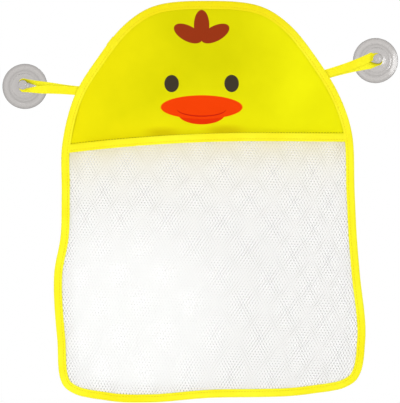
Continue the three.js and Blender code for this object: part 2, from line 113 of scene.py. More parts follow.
# %% [markdown]
# ## Node helpers
#
# Every material and every Geometry Nodes tree below is a list of nodes and links. One helper makes a
# node, sets its options and fills its inputs: a plain value is set on the socket, another node's output
# is linked to it. The others are short names for the nodes that come up most. Two functions start a node
# group with named inputs and outputs, and a material.

# %% Node helpers
class Nodes:
    """A node tree to fill. Each call adds a node, and gives its outputs or the one that counts."""

    def __init__(self, tree):
        self.tree = tree

    def link(self, output, socket):
        self.tree.links.new(output, socket)

    def add(self, kind, inputs=None, **options):
        node = self.tree.nodes.new(kind)
        for name, value in options.items():
            setattr(node, name, value)
        for name, value in (inputs or {}).items():
            if isinstance(value, bpy.types.NodeSocket):
                self.link(value, node.inputs[name])
            else:
                node.inputs[name].default_value = value
        return node.outputs

    def geo(self, kind, options=None, **inputs):
        """A geometry node. Its inputs are keywords, with underscores for spaces."""
        named = {label.replace("_", " "): value for label, value in inputs.items()}
        return self.add("GeometryNode" + kind, named, **(options or {}))[0]

    def math(self, operation, *values):
        return self.add("ShaderNodeMath", dict(enumerate(values)), operation=operation)[0]

    def vector(self, operation, *values):
        return self.add("ShaderNodeVectorMath", dict(enumerate(values)), operation=operation)

    def combine(self, *axes):
        return self.add("ShaderNodeCombineXYZ", dict(enumerate(axes)))[0]

    def separate(self, vector):
        return self.add("ShaderNodeSeparateXYZ", {0: vector})

    def ramp(self, value, low, high, ends=(0.0, 1.0), shape="LINEAR"):
        """A value's way from low to high, as a number that runs from one end to the other."""
        limits = {"Value": value, "From Min": low, "From Max": high, "To Min": ends[0], "To Max": ends[1]}
        return self.add("ShaderNodeMapRange", limits, interpolation_type=shape)["Result"]

    def noise(self, where, scale, detail):
        return self.add("ShaderNodeTexNoise", {"Vector": where, "Scale": scale, "Detail": detail})[0]

    def place(self):
        return self.add("ShaderNodeTexCoord")["Object"]

    def stored(self, name):
        return self.add("ShaderNodeAttribute", attribute_name=name)["Fac"]

    def mix(self, mask, first, second):
        return self.add("ShaderNodeMix", {0: mask, 6: first, 7: second}, data_type="RGBA")[2]

    def group(self, tree, values):
        return self.add("ShaderNodeGroup", values, node_tree=tree)


# %% Groups and materials
def node_group(name, kind, outputs, **inputs):
    """Start a node group. Gives its nodes, the sockets that come in and the sockets that go out."""
    tree = bpy.data.node_groups.new(name, kind)
    for way, sockets in (("INPUT", inputs), ("OUTPUT", outputs)):
        for label, socket in sockets.items():
            tree.interface.new_socket(label, in_out=way, socket_type="NodeSocket" + socket)
    return Nodes(tree), tree.nodes.new("NodeGroupInput").outputs, tree.nodes.new("NodeGroupOutput").inputs


def new_material(name, **even):
    """A material, its nodes and its shader, with even values on the shader's own sockets."""
    made = bpy.data.materials.new(name)
    made.use_nodes = True
    shader = made.node_tree.nodes["Principled BSDF"]
    for label, value in even.items():
        shader.inputs[label.replace("_", " ")].default_value = value
    return made, Nodes(made.node_tree), shader


# %% [markdown]
# ## Studio light and floor
#
# The picture has a pure white ground and almost no shadow. The world shows white to the camera and to
# clear or glossy surfaces, but lights the cloth with a softer level. Four lamps add the rest, so that a
# colour renders about as it is written: a wide key that leaves no highlight on the vinyl, a fill, a small
# glint for the cups, and one for the back. The floor lies well below the pouch and fades to white at its
# rim.

# %% Sky
SKY_LIGHT = 0.6

SCENE.world = bpy.data.worlds.new("studio")
SCENE.world.use_nodes = True
nodes = Nodes(SCENE.world.node_tree)
seen = nodes.add("ShaderNodeLightPath")
reflected = nodes.math("MAXIMUM", seen["Is Glossy Ray"], seen["Is Transmission Ray"])
shown = nodes.math("MAXIMUM", seen["Is Camera Ray"], reflected)
background = nodes.tree.nodes["Background"].inputs
background["Color"].default_value = (1, 1, 1, 1)
nodes.link(nodes.math("MULTIPLY_ADD", shown, 1 - SKY_LIGHT, SKY_LIGHT), background["Strength"])
print("sky light", SKY_LIGHT)

# %% Lamps
POUCH_MIDDLE = (0, 0, (CAD_BOX[0].z + CAD_BOX[1].z) / 2)
# Name, place, aim, width, watts, and whether glossy surfaces mirror it
LAMPS = [
    ("key", (-0.75, -1.35, -0.25), POUCH_MIDDLE, 0.9, 8, False),
    ("fill", (0.95, -1.25, 0.1), POUCH_MIDDLE, 0.6, 5, True),
    ("glint", (0.2, -1.1, -0.75), (0, 0, 0), 0.25, 0.8, True),
    ("back", (0.3, 1.3, 0.5), POUCH_MIDDLE, 0.9, 6, True),
]

for name, place, aim, wide, watts, mirrored in LAMPS:
    lamp = bpy.data.lights.new(name, "AREA")
    lamp.shape = "DISK"
    lamp.size = wide
    lamp.energy = watts
    holder = bpy.data.objects.new(name, lamp)
    holder.location = place
    holder.rotation_euler = (Vector(aim) - Vector(place)).to_track_quat("-Z", "Y").to_euler()
    holder.visible_glossy = mirrored
    holder.visible_transmission = False
    SCENE.collection.objects.link(holder)
print("lamps:", ", ".join(lamp[0] for lamp in LAMPS))

# %% Floor
FLOOR_DROP = 0.25
FLOOR_RADIUS = 1.5
FLOOR_SIDES = 96
FLOOR_FADE_FROM = 0.5
FLOOR_GREY = (0.9, 0.9, 0.9, 1)


def new_piece(name, mesh, *paints):
    for paint in paints:
        mesh.materials.append(paint)
    piece = bpy.data.objects.new(name, mesh)
    SCENE.collection.objects.link(piece)
    return piece


paint, nodes, shader = new_material("floor", Base_Color=FLOOR_GREY, Roughness=0.9)
away = nodes.vector("LENGTH", nodes.place())["Value"]
fade = nodes.ramp(away, FLOOR_FADE_FROM, FLOOR_RADIUS, shape="SMOOTHSTEP")
mask = nodes.math("MULTIPLY", fade, nodes.add("ShaderNodeLightPath")["Is Camera Ray"])
white = nodes.add("ShaderNodeEmission")[0]
mixed = nodes.add("ShaderNodeMixShader", {0: mask, 1: shader.outputs[0], 2: white})[0]
nodes.link(mixed, nodes.tree.nodes["Material Output"].inputs["Surface"])
mesh = bpy.data.meshes.new("floor")
disc = bmesh.new()
bmesh.ops.create_circle(disc, cap_ends=True, segments=FLOOR_SIDES, radius=FLOOR_RADIUS)
disc.to_mesh(mesh)
disc.free()
floor = new_piece("floor", mesh, paint)
floor.location.z = CAD_BOX[0].z - FLOOR_DROP
print("floor at", round(floor.location.z, 3))

# %% [markdown]
# ## Shared effects for the materials
#
# Head panel, bindings and hanging tapes are all plain weave. One shader group draws its over-and-under
# threads for all of them from a place in metres, with a slow unevenness of the dye. A second group draws
# an ellipse whose edge is as soft as it is told. The print on the head panel is made of it, and so are
# the panel's fold shadows.

# %% Woven threads
# A noise is given by its scale and detail
DYE_NOISE = (14.0, 3.0)
DYE_RANGE = (0.3, 0.7)

tones = {"Height": "Float", "Tone": "Float"}
nodes, given, result = node_group("woven_threads", "ShaderNodeTree", tones, Place="Vector", Pitch="Float")
turns = nodes.math("DIVIDE", 2 * math.pi, given["Pitch"])
scaled = nodes.add("ShaderNodeVectorMath", {0: given["Place"], "Scale": turns}, operation="SCALE")[0]
axes = nodes.separate(scaled)
crossing = nodes.math("MULTIPLY", nodes.math("SINE", axes["X"]), nodes.math("SINE", axes["Y"]))
nodes.link(nodes.math("MULTIPLY_ADD", crossing, 0.5, 0.5), result["Height"])
nodes.link(nodes.ramp(nodes.noise(given["Place"], *DYE_NOISE), *DYE_RANGE), result["Tone"])
WOVEN = nodes.tree
print("shader group:", WOVEN.name)

# %% Printed ellipse
sockets = {"Place": "Vector", "Centre": "Vector", "Half": "Vector", "Tilt": "Float", "Soft": "Float"}
nodes, given, result = node_group("printed_ellipse", "ShaderNodeTree", {"Mask": "Float"}, **sockets)
moved = nodes.vector("SUBTRACT", given["Place"], given["Centre"])[0]
turn = {"Vector": moved, "Angle": given["Tilt"]}
turned = nodes.add("ShaderNodeVectorRotate", turn, rotation_type="Z_AXIS")[0]
reach = nodes.vector("LENGTH", nodes.vector("DIVIDE", turned, given["Half"])[0])["Value"]
outside = nodes.math("ADD", 1.0, given["Soft"])
inside = nodes.math("SUBTRACT", 1.0, given["Soft"])
nodes.link(nodes.ramp(reach, outside, inside, shape="SMOOTHSTEP"), result["Mask"])
ELLIPSE = nodes.tree
print("shader group:", ELLIPSE.name)

# %% [markdown]
# ## Materials
#
# Colours are noted as they look on a screen and turned into the linear values that Blender works with.
# Values that are even all over sit on the shader's own sockets. What changes over the surface, such as
# weave, dye, print and painted light and shade, comes from nodes on Object coordinates, on the piece's
# own UV map or on values stored in its mesh.

# %% Material helpers
CLOTH_GLOSS = 0.05


def screen(red, green, blue):
    """A colour as a screen shows it, from 0 to 255, in linear light."""
    parts = np.array([red, green, blue]) / 255
    linear = np.where(parts <= 0.04045, parts / 12.92, ((parts + 0.055) / 1.055) ** 2.4)
    return (*linear.tolist(), 1.0)


def new_cloth(name, roughness):
    return new_material(name, Roughness=roughness, Specular_IOR_Level=CLOTH_GLOSS)


def finish_cloth(nodes, shader, colour, height, relief):
    """Link a cloth's colour, and a bump that is as deep as its relief."""
    nodes.link(colour, shader.inputs["Base Color"])
    bump = nodes.add("ShaderNodeBump", {"Height": height, "Distance": relief})[0]
    nodes.link(bump, shader.inputs["Normal"])


# %% [markdown]
# ## The printed head panel
#
# The head panel is yellow polyester with a cheerful animal face printed on it. The face here is a plain
# duck of our own: three feathers fanned from one root, two oval eyes and a wide bill with a curved mouth
# line, each an ellipse. Ellipses need no picture file and stay sharp at any size. Painted shade makes the
# cloth deeper at its upper middle, and painted light makes it paler to the sides and low down, warmer on
# the left and lemon on the right. Two faint painted fold shadows lie over the mouth. The print soaks only
# a little way through, so the back of the cloth has a faint ghost of it and of the painted shadows.

# %% Head panel print
FEATHER_BROWN = screen(150, 52, 20)
EYE_DARK = screen(62, 54, 42)
BILL_ORANGE = screen(240, 64, 3)
BILL_LOW = screen(230, 50, 4)
MOUTH_RED = screen(200, 30, 8)
FACE_X = 1.5 * MM
FEATHER_ROOT_Z = 35 * MM
FEATHER_LONG = 17 * MM
FEATHER_HALF_WIDE = 8.5 * MM
FEATHER_FAN = [math.radians(degrees) for degrees in (-62, 0, 62)]
EYE_APART = 33 * MM
SMILE_HALF_WIDE = 27 * MM
SMILE_Z = -40.5 * MM
SMILE_LINE = 1.3 * MM
SMILE_TAPER = 1.02

# Each ellipse is its middle's x and z, half its width, half its height and its tilt
FEATHERS = []
for lean in FEATHER_FAN:
    x = FACE_X + FEATHER_LONG * math.sin(lean)
    z = FEATHER_ROOT_Z + FEATHER_LONG * math.cos(lean)
    FEATHERS.append((x, z, FEATHER_HALF_WIDE, FEATHER_LONG, lean))
EYES = [(FACE_X + side * EYE_APART, -12 * MM, 8 * MM, 9.5 * MM, 0) for side in (-1, 1)]
LOWER_BILL = (FACE_X, -45 * MM, 26 * MM, 12 * MM, 0)
UPPER_BILL = (FACE_X, -38 * MM, 45 * MM, 13 * MM, 0)
SMILE = (FACE_X, SMILE_Z, SMILE_HALF_WIDE, 8 * MM, 0)
SMILE_CUT = (FACE_X, SMILE_Z + SMILE_LINE, SMILE_HALF_WIDE * SMILE_TAPER, 8 * MM, 0)
# From back to front: a colour, its ellipses, and one that is cut out of them
FACE_MARKS = [
    (FEATHER_BROWN, FEATHERS, None),
    (EYE_DARK, EYES, None),
    (BILL_LOW, [LOWER_BILL], None),
    (BILL_ORANGE, [UPPER_BILL], None),
    (MOUTH_RED, [SMILE], SMILE_CUT),
]
print("print:", len(FACE_MARKS), "colours")

# %% Head panel cloth
# Painted light and shade: the deep colour is the shaded upper middle, the lit colours are the paler sides
# and lower part
PANEL_SHADED_DEEP = screen(212, 207, 1)
PANEL_LIT_WARM = screen(240, 228, 8)
PANEL_LIT_LEMON = screen(240, 237, 10)
PANEL_FOLD_SHADOW = screen(218, 202, 4)
PANEL_SIDES = (-90 * MM, 90 * MM)
PANEL_SHADED_MIDDLE = (30 * MM, 110 * MM)
PANEL_LIT_LOWER = (-15 * MM, -60 * MM)
PANEL_THREAD = 0.7 * MM
PANEL_RELIEF = 0.06 * MM
TONE_BY_PAINTED_LIGHT = 0.6
TONE_BY_DYE = 0.4
PRINT_EDGE = 0.02
# Painted shadows of the folds over the mouth, each an ellipse with a soft edge
FOLD_SHADOWS = [(-42 * MM, -66 * MM, 16 * MM, 5 * MM, 0), (27 * MM, -63.5 * MM, 18 * MM, 5 * MM, 0)]
FOLD_EDGE = 0.8
GHOST_INK = 0.16


def panel_cloth(name, ink):
    """Yellow plain weave with the print at a strength from 0 to 1."""
    made, nodes, shader = new_cloth(name, roughness=0.8)
    axes = nodes.separate(nodes.place())
    flat = nodes.combine(axes["X"], axes["Z"])
    weave = nodes.group(WOVEN, {"Place": flat, "Pitch": PANEL_THREAD})
    # Painted light: paler away from the middle and towards the hem, mixed with the dye's own unevenness
    beside = nodes.ramp(nodes.math("ABSOLUTE", axes["X"]), *PANEL_SHADED_MIDDLE)
    pale = nodes.math("MAXIMUM", beside, nodes.ramp(axes["Z"], *PANEL_LIT_LOWER))
    dyed = nodes.math("MULTIPLY", weave["Tone"], TONE_BY_DYE)
    tone = nodes.math("MULTIPLY_ADD", pale, TONE_BY_PAINTED_LIGHT, dyed)
    sides = nodes.mix(nodes.ramp(axes["X"], *PANEL_SIDES), PANEL_LIT_WARM, PANEL_LIT_LEMON)
    colour = nodes.mix(tone, PANEL_SHADED_DEEP, sides)

    def mask_of(ellipse, soft=PRINT_EDGE):
        x, z, wide, tall, tilt = ellipse
        form = {"Centre": (x, z, 0), "Half": (wide, tall, 1), "Tilt": tilt, "Soft": soft}
        return nodes.group(ELLIPSE, {"Place": flat, **form})["Mask"]

    layers = [(PANEL_FOLD_SHADOW, mask_of(fold, FOLD_EDGE)) for fold in FOLD_SHADOWS]
    for paint, ellipses, cut in FACE_MARKS:
        mask = mask_of(ellipses[0])
        for other in ellipses[1:]:
            mask = nodes.math("MAXIMUM", mask, mask_of(other))
        if cut:
            mask = nodes.math("MULTIPLY", mask, nodes.math("SUBTRACT", 1.0, mask_of(cut)))
        layers.append((paint, mask))
    for paint, mask in layers:
        colour = nodes.mix(nodes.math("MULTIPLY", mask, ink), colour, paint)
    finish_cloth(nodes, shader, colour, weave["Height"], PANEL_RELIEF)
    return made


PANEL_FRONT = panel_cloth("panel_front", 1.0)
PANEL_BACK = panel_cloth("panel_back", GHOST_INK)
print("panel cloth:", len(PANEL_FRONT.node_tree.nodes), "nodes")

# %% [markdown]
# ## Tape, net, thread and vinyl
#
# The bindings and hanging tapes are a brighter lemon than the panel, with painted shade that makes them
# more golden towards the crown, and their weave follows the tape's own length, so they read a UV map in
# metres. The net is white yarn with painted shade at its hole rims, pale outside and dark on the inside
# of the back net, which faces into the pocket. Each net stores how strong that painted shade is, and how
# much painted yellow bounce light it takes on under the mouth. The cups are clear soft vinyl: a
# transmitting shader, tinted by the vinyl's thickness and by painted shade for the dark rings that
# refraction shows at the lip and the steps, with a thin coat and a bloom that makes the gloss uneven.

# %% Tape and thread
TAPE_DEEP = screen(246, 233, 28)
TAPE_BRIGHT = screen(250, 247, 50)
TAPE_SHADE_GOLD = screen(240, 222, 16)
TAPE_SHADE_RISE = (15 * MM, 80 * MM)
TAPE_RIB = 0.55 * MM
TAPE_RELIEF = 0.05 * MM
PLY_NOISE = (900.0, 3.0)
PLY_RELIEF = 0.08 * MM

TAPE, nodes, shader = new_cloth("lemon_tape", roughness=0.7)
weave = nodes.group(WOVEN, {"Place": nodes.add("ShaderNodeUVMap", uv_map="tape")[0], "Pitch": TAPE_RIB})
lemon = nodes.mix(weave["Tone"], TAPE_DEEP, TAPE_BRIGHT)
# Painted shade: the tape turns more golden as it rises towards the crown
crown_shade = nodes.ramp(nodes.separate(nodes.place())["Z"], *TAPE_SHADE_RISE)
finish_cloth(nodes, shader, nodes.mix(crown_shade, lemon, TAPE_SHADE_GOLD), weave["Height"], TAPE_RELIEF)


def sewing_thread(name, deep, pale):
    made, nodes, shader = new_cloth(name, roughness=0.6)
    ply = nodes.noise(nodes.place(), *PLY_NOISE)
    finish_cloth(nodes, shader, nodes.mix(ply, deep, pale), ply, PLY_RELIEF)
    return made


THREAD = sewing_thread("yellow_thread", screen(226, 188, 14), screen(242, 216, 30))
# The hem thread is dark olive: it paints the shadow in the gap between the panel's hem and the mouth
# binding
HEM_SHADOW_THREAD = sewing_thread("shadow_olive_thread", screen(116, 102, 8), screen(160, 143, 12))
print("materials:", TAPE.name, THREAD.name, HEM_SHADOW_THREAD.name)

# %% Net
NET_WHITE = screen(254, 254, 253)
# Painted yellow bounce light from the panel, on the net close under the mouth
NET_BOUNCE_YELLOW = screen(242, 233, 190)
# A side of a net is its yarn's colour, the colour of the painted shade at its holes' rims, and how far from
# a rim that starts
OUTSIDE = (NET_WHITE, screen(236, 234, 231), 0.5)
WALL_SIDE = (NET_WHITE, screen(150, 145, 140), 0.4)
INSIDE = (screen(255, 254, 252), screen(96, 93, 90), 0.42)
YARN_NOISE = (2600.0, 2.0)
YARN_RELIEF = 0.04 * MM


def net_knit(name, *sides):
    """White yarn with painted shade at the rims of its holes, for the front side and the back side."""
    made, nodes, shader = new_cloth(name, roughness=0.7)
    shade, rim = nodes.stored("shade"), nodes.stored("rim")
    looks = []
    for yarn_colour, hole_shade_colour, start in sides:
        near = nodes.math("MULTIPLY", nodes.ramp(rim, start, 1.0), shade)
        looks.append(nodes.mix(near, nodes.mix(shade, NET_WHITE, yarn_colour), hole_shade_colour))
    # Backfacing picks the second look: for the back net, its side in the pocket, with darker painted shade
    behind = nodes.add("ShaderNodeNewGeometry")["Backfacing"]
    # Painted yellow bounce light from the panel, close under the mouth
    colour = nodes.mix(nodes.stored("bounce_yellow"), nodes.mix(behind, *looks), NET_BOUNCE_YELLOW)
    finish_cloth(nodes, shader, colour, nodes.noise(nodes.place(), *YARN_NOISE), YARN_RELIEF)
    return made


POCKET_YARN = net_knit("pocket_yarn", OUTSIDE, OUTSIDE)
BACK_YARN = net_knit("back_yarn", WALL_SIDE, INSIDE)
print("materials:", POCKET_YARN.name, BACK_YARN.name)

# %% Vinyl
VINYL_CLEAR = screen(202, 198, 195)
VINYL_SHADED_DEEP = screen(140, 136, 134)
VINYL_ROUGH = (0.13, 0.19)
BLOOM_NOISE = (60.0, 2.0)

even = {"IOR": 1.5, "Transmission_Weight": 1.0, "Coat_Weight": 0.35, "Coat_Roughness": 0.15}
VINYL, nodes, shader = new_material("clear_vinyl", **even)
# The stored 'depth' darkens the vinyl by its thickness and with painted shade for the dark refraction rings
nodes.link(nodes.mix(nodes.stored("depth"), VINYL_CLEAR, VINYL_SHADED_DEEP), shader.inputs["Base Color"])
bloom = nodes.noise(nodes.place(), *BLOOM_NOISE)
nodes.link(nodes.ramp(bloom, 0.0, 1.0, VINYL_ROUGH), shader.inputs["Roughness"])
print("material:", VINYL.name)

# %% [markdown]
# ## The pouch's outline
#
# Panel, nets and binding all end on one outline. It is read from the plain binding: the points of its
# fold that lie nearest the middle of the tape form one ring. Sorted round the middle of the pouch,
# smoothed and spaced evenly, they give a finer line than the solid has, and an inward direction at each
# step.

# %% Outline
EDGE_STEPS = 720
FOLD_BAND = 0.05 * MM
POINT_GAP = 0.5 * MM
CURVE_CUTS = 16


def points_of(mesh):
    return np.array([vertex.co for vertex in mesh.vertices])


def lengths_of(points):
    return np.r_[0, np.cumsum(np.linalg.norm(np.diff(points, axis=0), axis=1))]


def fold_ring(node):
    """The fold of a folded tape, as (x, z) points in order, clockwise from the crown."""
    points = points_of(frame["nodes"][node].data)
    depth = points[:, 1]
    away = np.abs(depth - (depth.min() + depth.max()) / 2)
    ring = points[away < away.min() + FOLD_BAND][:, (0, 2)]
    middle = (ring.min(0) + ring.max(0)) / 2
    angle = np.arctan2(ring[:, 0] - middle[0], ring[:, 1] - middle[1]) % (2 * math.pi)
    ring = ring[np.argsort(angle)]
    step = np.linalg.norm(ring - np.roll(ring, 1, 0), axis=1)
    return ring[step > POINT_GAP]


def even_steps(points, count):
    """Points at even distances along a line of points, ends included."""
    along = lengths_of(points)
    wanted = np.linspace(0, along[-1], count)
    return np.column_stack([np.interp(wanted, along, axis) for axis in points.T])


def spline(p, q, r, s, t):
    """A smooth curve from q to r as t runs from 0 to 1, aimed by the points p before and s after them."""
    return q + 0.5 * t * (r - p + t * (2 * p - 5 * q + 4 * r - s + t * (3 * (q - r) + s - p)))


def smooth_ring(points, count):
    """A smooth closed line through the points, in even steps."""
    around = [np.roll(points, shift, 0)[:, None, :] for shift in (1, 0, -1, -2)]
    t = np.linspace(0, 1, CURVE_CUTS, endpoint=False)[None, :, None]
    curve = spline(*around, t).reshape(-1, 2)
    return even_steps(np.vstack([curve, curve[:1]]), count + 1)[:-1]


EDGE = smooth_ring(fold_ring("edge_binding"), EDGE_STEPS)
ahead = np.roll(EDGE, -1, 0) - np.roll(EDGE, 1, 0)
ahead /= np.linalg.norm(ahead, axis=1)[:, None]
EDGE_INWARD = np.column_stack([ahead[:, 1], -ahead[:, 0]])
EDGE_STEP = float(np.linalg.norm(EDGE[1] - EDGE[0]))
print(f"outline {EDGE_STEP * EDGE_STEPS * 1000:.0f} mm round, a step every {EDGE_STEP * 1000:.2f} mm")

# %% [markdown]
# ## The mouth and the pocket's belly
#
# The mouth is level on the right and droops to the left, as a parabola. The pocket net stands forward of
# the seam: most at the middle of the mouth, which gapes, and in the belly under it, and nothing at the
# seam. These two rules are used by nets, binding and stitches alike, so they are functions of a place on
# the pouch.

# %% Mouth and belly
CLOTH_THICK = 0.4 * MM
BINDING_WIDE = 9.2 * MM
NET_MARGIN = 0.5 * MM
MOUTH_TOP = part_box("mouth_binding")[1].z
MOUTH_LEVEL_X = 71 * MM
MOUTH_DROOP = 13 * MM
MOUTH_DROOP_RUN = 223 * MM
MOUTH_GAPE = 15 * MM
POCKET_BULGE = 18 * MM
PANEL_Y = (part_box("head_panel")[0].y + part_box("head_panel")[1].y) / 2
BACK_NET_Y = (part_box("back_net")[0].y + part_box("back_net")[1].y) / 2
POCKET_SEAM_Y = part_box("pocket_net")[1].y - CLOTH_THICK / 2


def mouth_z(x):
    t = np.clip((MOUTH_LEVEL_X - x) / MOUTH_DROOP_RUN, 0, 1)
    return MOUTH_TOP - MOUTH_DROOP * t * t


def pouch_sides(inset):
    """The left side from the crown down, the base to the right, and the right side from the crown down."""
    ring = EDGE + inset * EDGE_INWARD
    right_corner = int(np.argmax(ring[:, 0] - ring[:, 1]))
    left_corner = int(np.argmin(ring[:, 0] + ring[:, 1]))
    return ring[left_corner:][::-1], ring[right_corner : left_corner + 1][::-1], ring[: right_corner + 1]


BELLY_SIDES = pouch_sides(BINDING_WIDE + NET_MARGIN)


def pocket_depth(x, z):
    """How far the pocket net stands forward of its seam at a place on the pouch."""
    left, base, right = BELLY_SIDES
    left_x = np.interp(-z, -left[:, 1], left[:, 0])
    right_x = np.interp(-z, -right[:, 1], right[:, 0])
    top_z = mouth_z(x) - BINDING_WIDE - NET_MARGIN
    base_z = np.interp(x, base[:, 0], base[:, 1])
    across = np.clip((x - left_x) / (right_x - left_x), 0, 1)
    down = np.clip((top_z - z) / (top_z - base_z), 0, 1)
    hang = MOUTH_GAPE * (1 - down) ** 2 + POCKET_BULGE * 4 * down * (1 - down)
    return 4 * across * (1 - across) * hang


print(f"the mouth's top is at {MOUTH_TOP * 1000:.1f} mm")

# %% [markdown]
# ## Mesh helpers
#
# Cloth edges and tapes are swept: a closed section is placed at each step of a path, and neighbouring
# sections are joined by quads. The helper keeps the cloth's own lengths as a UV map in metres, closes the
# ends, and turns the faces outwards. A second helper makes a plain grid of points into a sheet. Sewn
# cloth is never quite steady, so a third gives slow waves that are the same in each run.

# %% Swept skins
SHARP_DEGREES = 50


def finish_skin(shape, mesh, sharp_degrees):
    """Turn a closed skin's faces outwards, and shade it smooth up to an angle."""
    bmesh.ops.recalc_face_normals(shape, faces=shape.faces)
    shape.to_mesh(mesh)
    shape.free()
    mesh.shade_smooth()
    mesh.set_sharp_from_angle(angle=math.radians(sharp_degrees))


def swept_mesh(name, sections, round_path):
    """A closed skin over a run of closed sections, with the cloth's own lengths in the UV map 'tape'."""
    count, size, _ = sections.shape
    middles = sections.mean(1)
    along = lengths_of(np.vstack([middles, middles[:1]]))
    across = lengths_of(np.vstack([sections[0], sections[0][:1]]))
    i, j = np.meshgrid(np.arange(count if round_path else count - 1), np.arange(size), indexing="ij")
    corners = [(i, j), (i, j + 1), (i + 1, j + 1), (i + 1, j)]
    faces = np.stack([(a % count) * size + b % size for a, b in corners], -1).reshape(-1, 4).tolist()
    uv = np.stack([np.stack([along[a], across[b]], -1) for a, b in corners], -2).reshape(-1, 2)
    if not round_path:
        faces.append(list(range(size))[::-1])
        faces.append(list(range((count - 1) * size, count * size)))
        uv = np.vstack([uv, np.zeros((2 * size, 2))])
    mesh = bpy.data.meshes.new(name)
    mesh.from_pydata(sections.reshape(-1, 3).tolist(), [], faces)
    mesh.uv_layers.new(name="tape").data.foreach_set("uv", uv.ravel())
    shape = bmesh.new()
    shape.from_mesh(mesh)
    finish_skin(shape, mesh, SHARP_DEGREES)
    return mesh


# %% Sheets and ripples
# Length in millimetres and strength
RIPPLE_WAVES = [(23, 1.0), (41, 0.7), (67, 0.5)]


def grid_mesh(name, points):
    """A sheet through rows of points, from the top down and from left to right, that faces the front."""
    rows, columns, _ = points.shape
    i, j = np.meshgrid(np.arange(rows - 1), np.arange(columns - 1), indexing="ij")
    corners = [(i, j), (i + 1, j), (i + 1, j + 1), (i, j + 1)]
    faces = np.stack([a * columns + b for a, b in corners], -1).reshape(-1, 4)
    mesh = bpy.data.meshes.new(name)
    mesh.from_pydata(points.reshape(-1, 3).tolist(), [], faces.tolist())
    mesh.shade_smooth()
    return mesh


def upright(places, y):
    """Places given as (x, z), stood up at one depth or at a depth for each."""
    return np.stack([places[..., 0], np.broadcast_to(y, places.shape[:-1]), places[..., 1]], -1)


def cloth_area(mesh):
    return sum(face.area for face in mesh.polygons)


def store(mesh, name, values):
    mesh.attributes.new(name, "FLOAT", "POINT").data.foreach_set("value", values)


def ripple(along, seed):
    """A slow, even unsteadiness between -1 and 1 along a sewn line."""
    turn = 2 * math.pi * along * 1000
    total = sum(size * np.sin(turn / wave + seed * wave) for wave, size in RIPPLE_WAVES)
    return total / sum(size for _, size in RIPPLE_WAVES)


# %% [markdown]
# ## Head panel
#
# A flat ply that is sewn down all round: it can only swell and pucker a little. Columns run from the hem
# up to the outline, so both edges are exact, and slow waves that die out at the seams lift it by less
# than two millimetres. Solidify gives the thickness and puts the back of the print on the back. The hem
# ends just behind the pocket's mouth, over the back net.

# %% Head panel
PANEL_ROWS = 40
PANEL_COLUMNS = 170
PANEL_INSET = 1.2 * MM
HEM_TUCK = 3 * MM
SHORTEST_COLUMN = 1 * MM
PANEL_SWELL = 0.9 * MM
SWELL_FADE = 25 * MM
# Two crossed waves as (radians to a metre, phase), and a slanting one as (along x, along z, strength)
ACROSS = (41, 0.6)
DOWN = (33, 1.1)
SLANT = (74, 58, 0.6)


def hem_z(x):
    return mouth_z(x) - HEM_TUCK


left, _, right = pouch_sides(PANEL_INSET)
rim = np.vstack([left[::-1], right])
rim = even_steps(rim[rim[:, 1] > hem_z(rim[:, 0])], PANEL_COLUMNS)
hem = hem_z(rim[:, 0])
tall = rim[:, 1] - hem
up = np.linspace(1, 0, PANEL_ROWS)[:, None]
z = hem + up * tall
x = np.broadcast_to(rim[:, 0], z.shape)
from_seam = np.minimum(up, 1 - up) * np.maximum(tall, SHORTEST_COLUMN)
swell = np.sin(x * ACROSS[0] + ACROSS[1]) * np.sin(z * DOWN[0] + DOWN[1])
swell = swell + SLANT[2] * np.sin(x * SLANT[0] - z * SLANT[1])
y = PANEL_Y - PANEL_SWELL * np.clip(from_seam / SWELL_FADE, 0, 1) ** 2 * swell
mesh = grid_mesh("head_panel_cloth", np.stack([x, y, z], -1))
PANEL = new_piece("head_panel_cloth", mesh, PANEL_FRONT, PANEL_BACK)
solid = PANEL.modifiers.new("thickness", "SOLIDIFY")
solid.thickness = CLOTH_THICK
solid.offset = 0
solid.material_offset = 1
solid.material_offset_rim = 1

# %% [markdown]
# ## Knitted net
#
# Warp-knitted net is a lattice of thread with a small hole in every cell. Modelled thread by thread it
# would be millions of faces. A Geometry Nodes tree does it with four faces a cell: a rhomb whose middle
# is pushed in and cut away is repeated on a staggered grid, the cells are merged, and every point is
# dropped straight back onto a smooth carrier sheet. What misses the carrier is deleted, which trims the
# net to shape.

# %% Net tree: the staggered grid
sockets = {"Carrier": "Geometry", "Columns": "Int", "Rows": "Int", "Middle": "Vector", "Knit": "Material"}
sockets |= {label: "Float" for label in ("Pitch", "Row", "Turn", "Hole", "Relief")}
nodes, given, result = node_group("knitted_net", "GeometryNodeTree", {"Net": "Geometry"}, **sockets)
columns, rows = given["Columns"], given["Rows"]
wide = nodes.math("MULTIPLY", nodes.math("SUBTRACT", columns, 1.0), given["Pitch"])
tall = nodes.math("MULTIPLY", nodes.math("SUBTRACT", rows, 1.0), given["Row"])
grid = nodes.geo("MeshGrid", Size_X=wide, Size_Y=tall, Vertices_X=columns, Vertices_Y=rows)
row = nodes.math("MODULO", nodes.geo("InputIndex"), rows)
half = nodes.math("MULTIPLY", given["Pitch"], 0.5)
shift = nodes.math("MULTIPLY", nodes.math("MODULO", row, 2.0), half)
spots = nodes.geo("SetPosition", Geometry=grid, Offset=nodes.combine(shift))
print("net tree so far:", len(nodes.tree.nodes), "nodes")

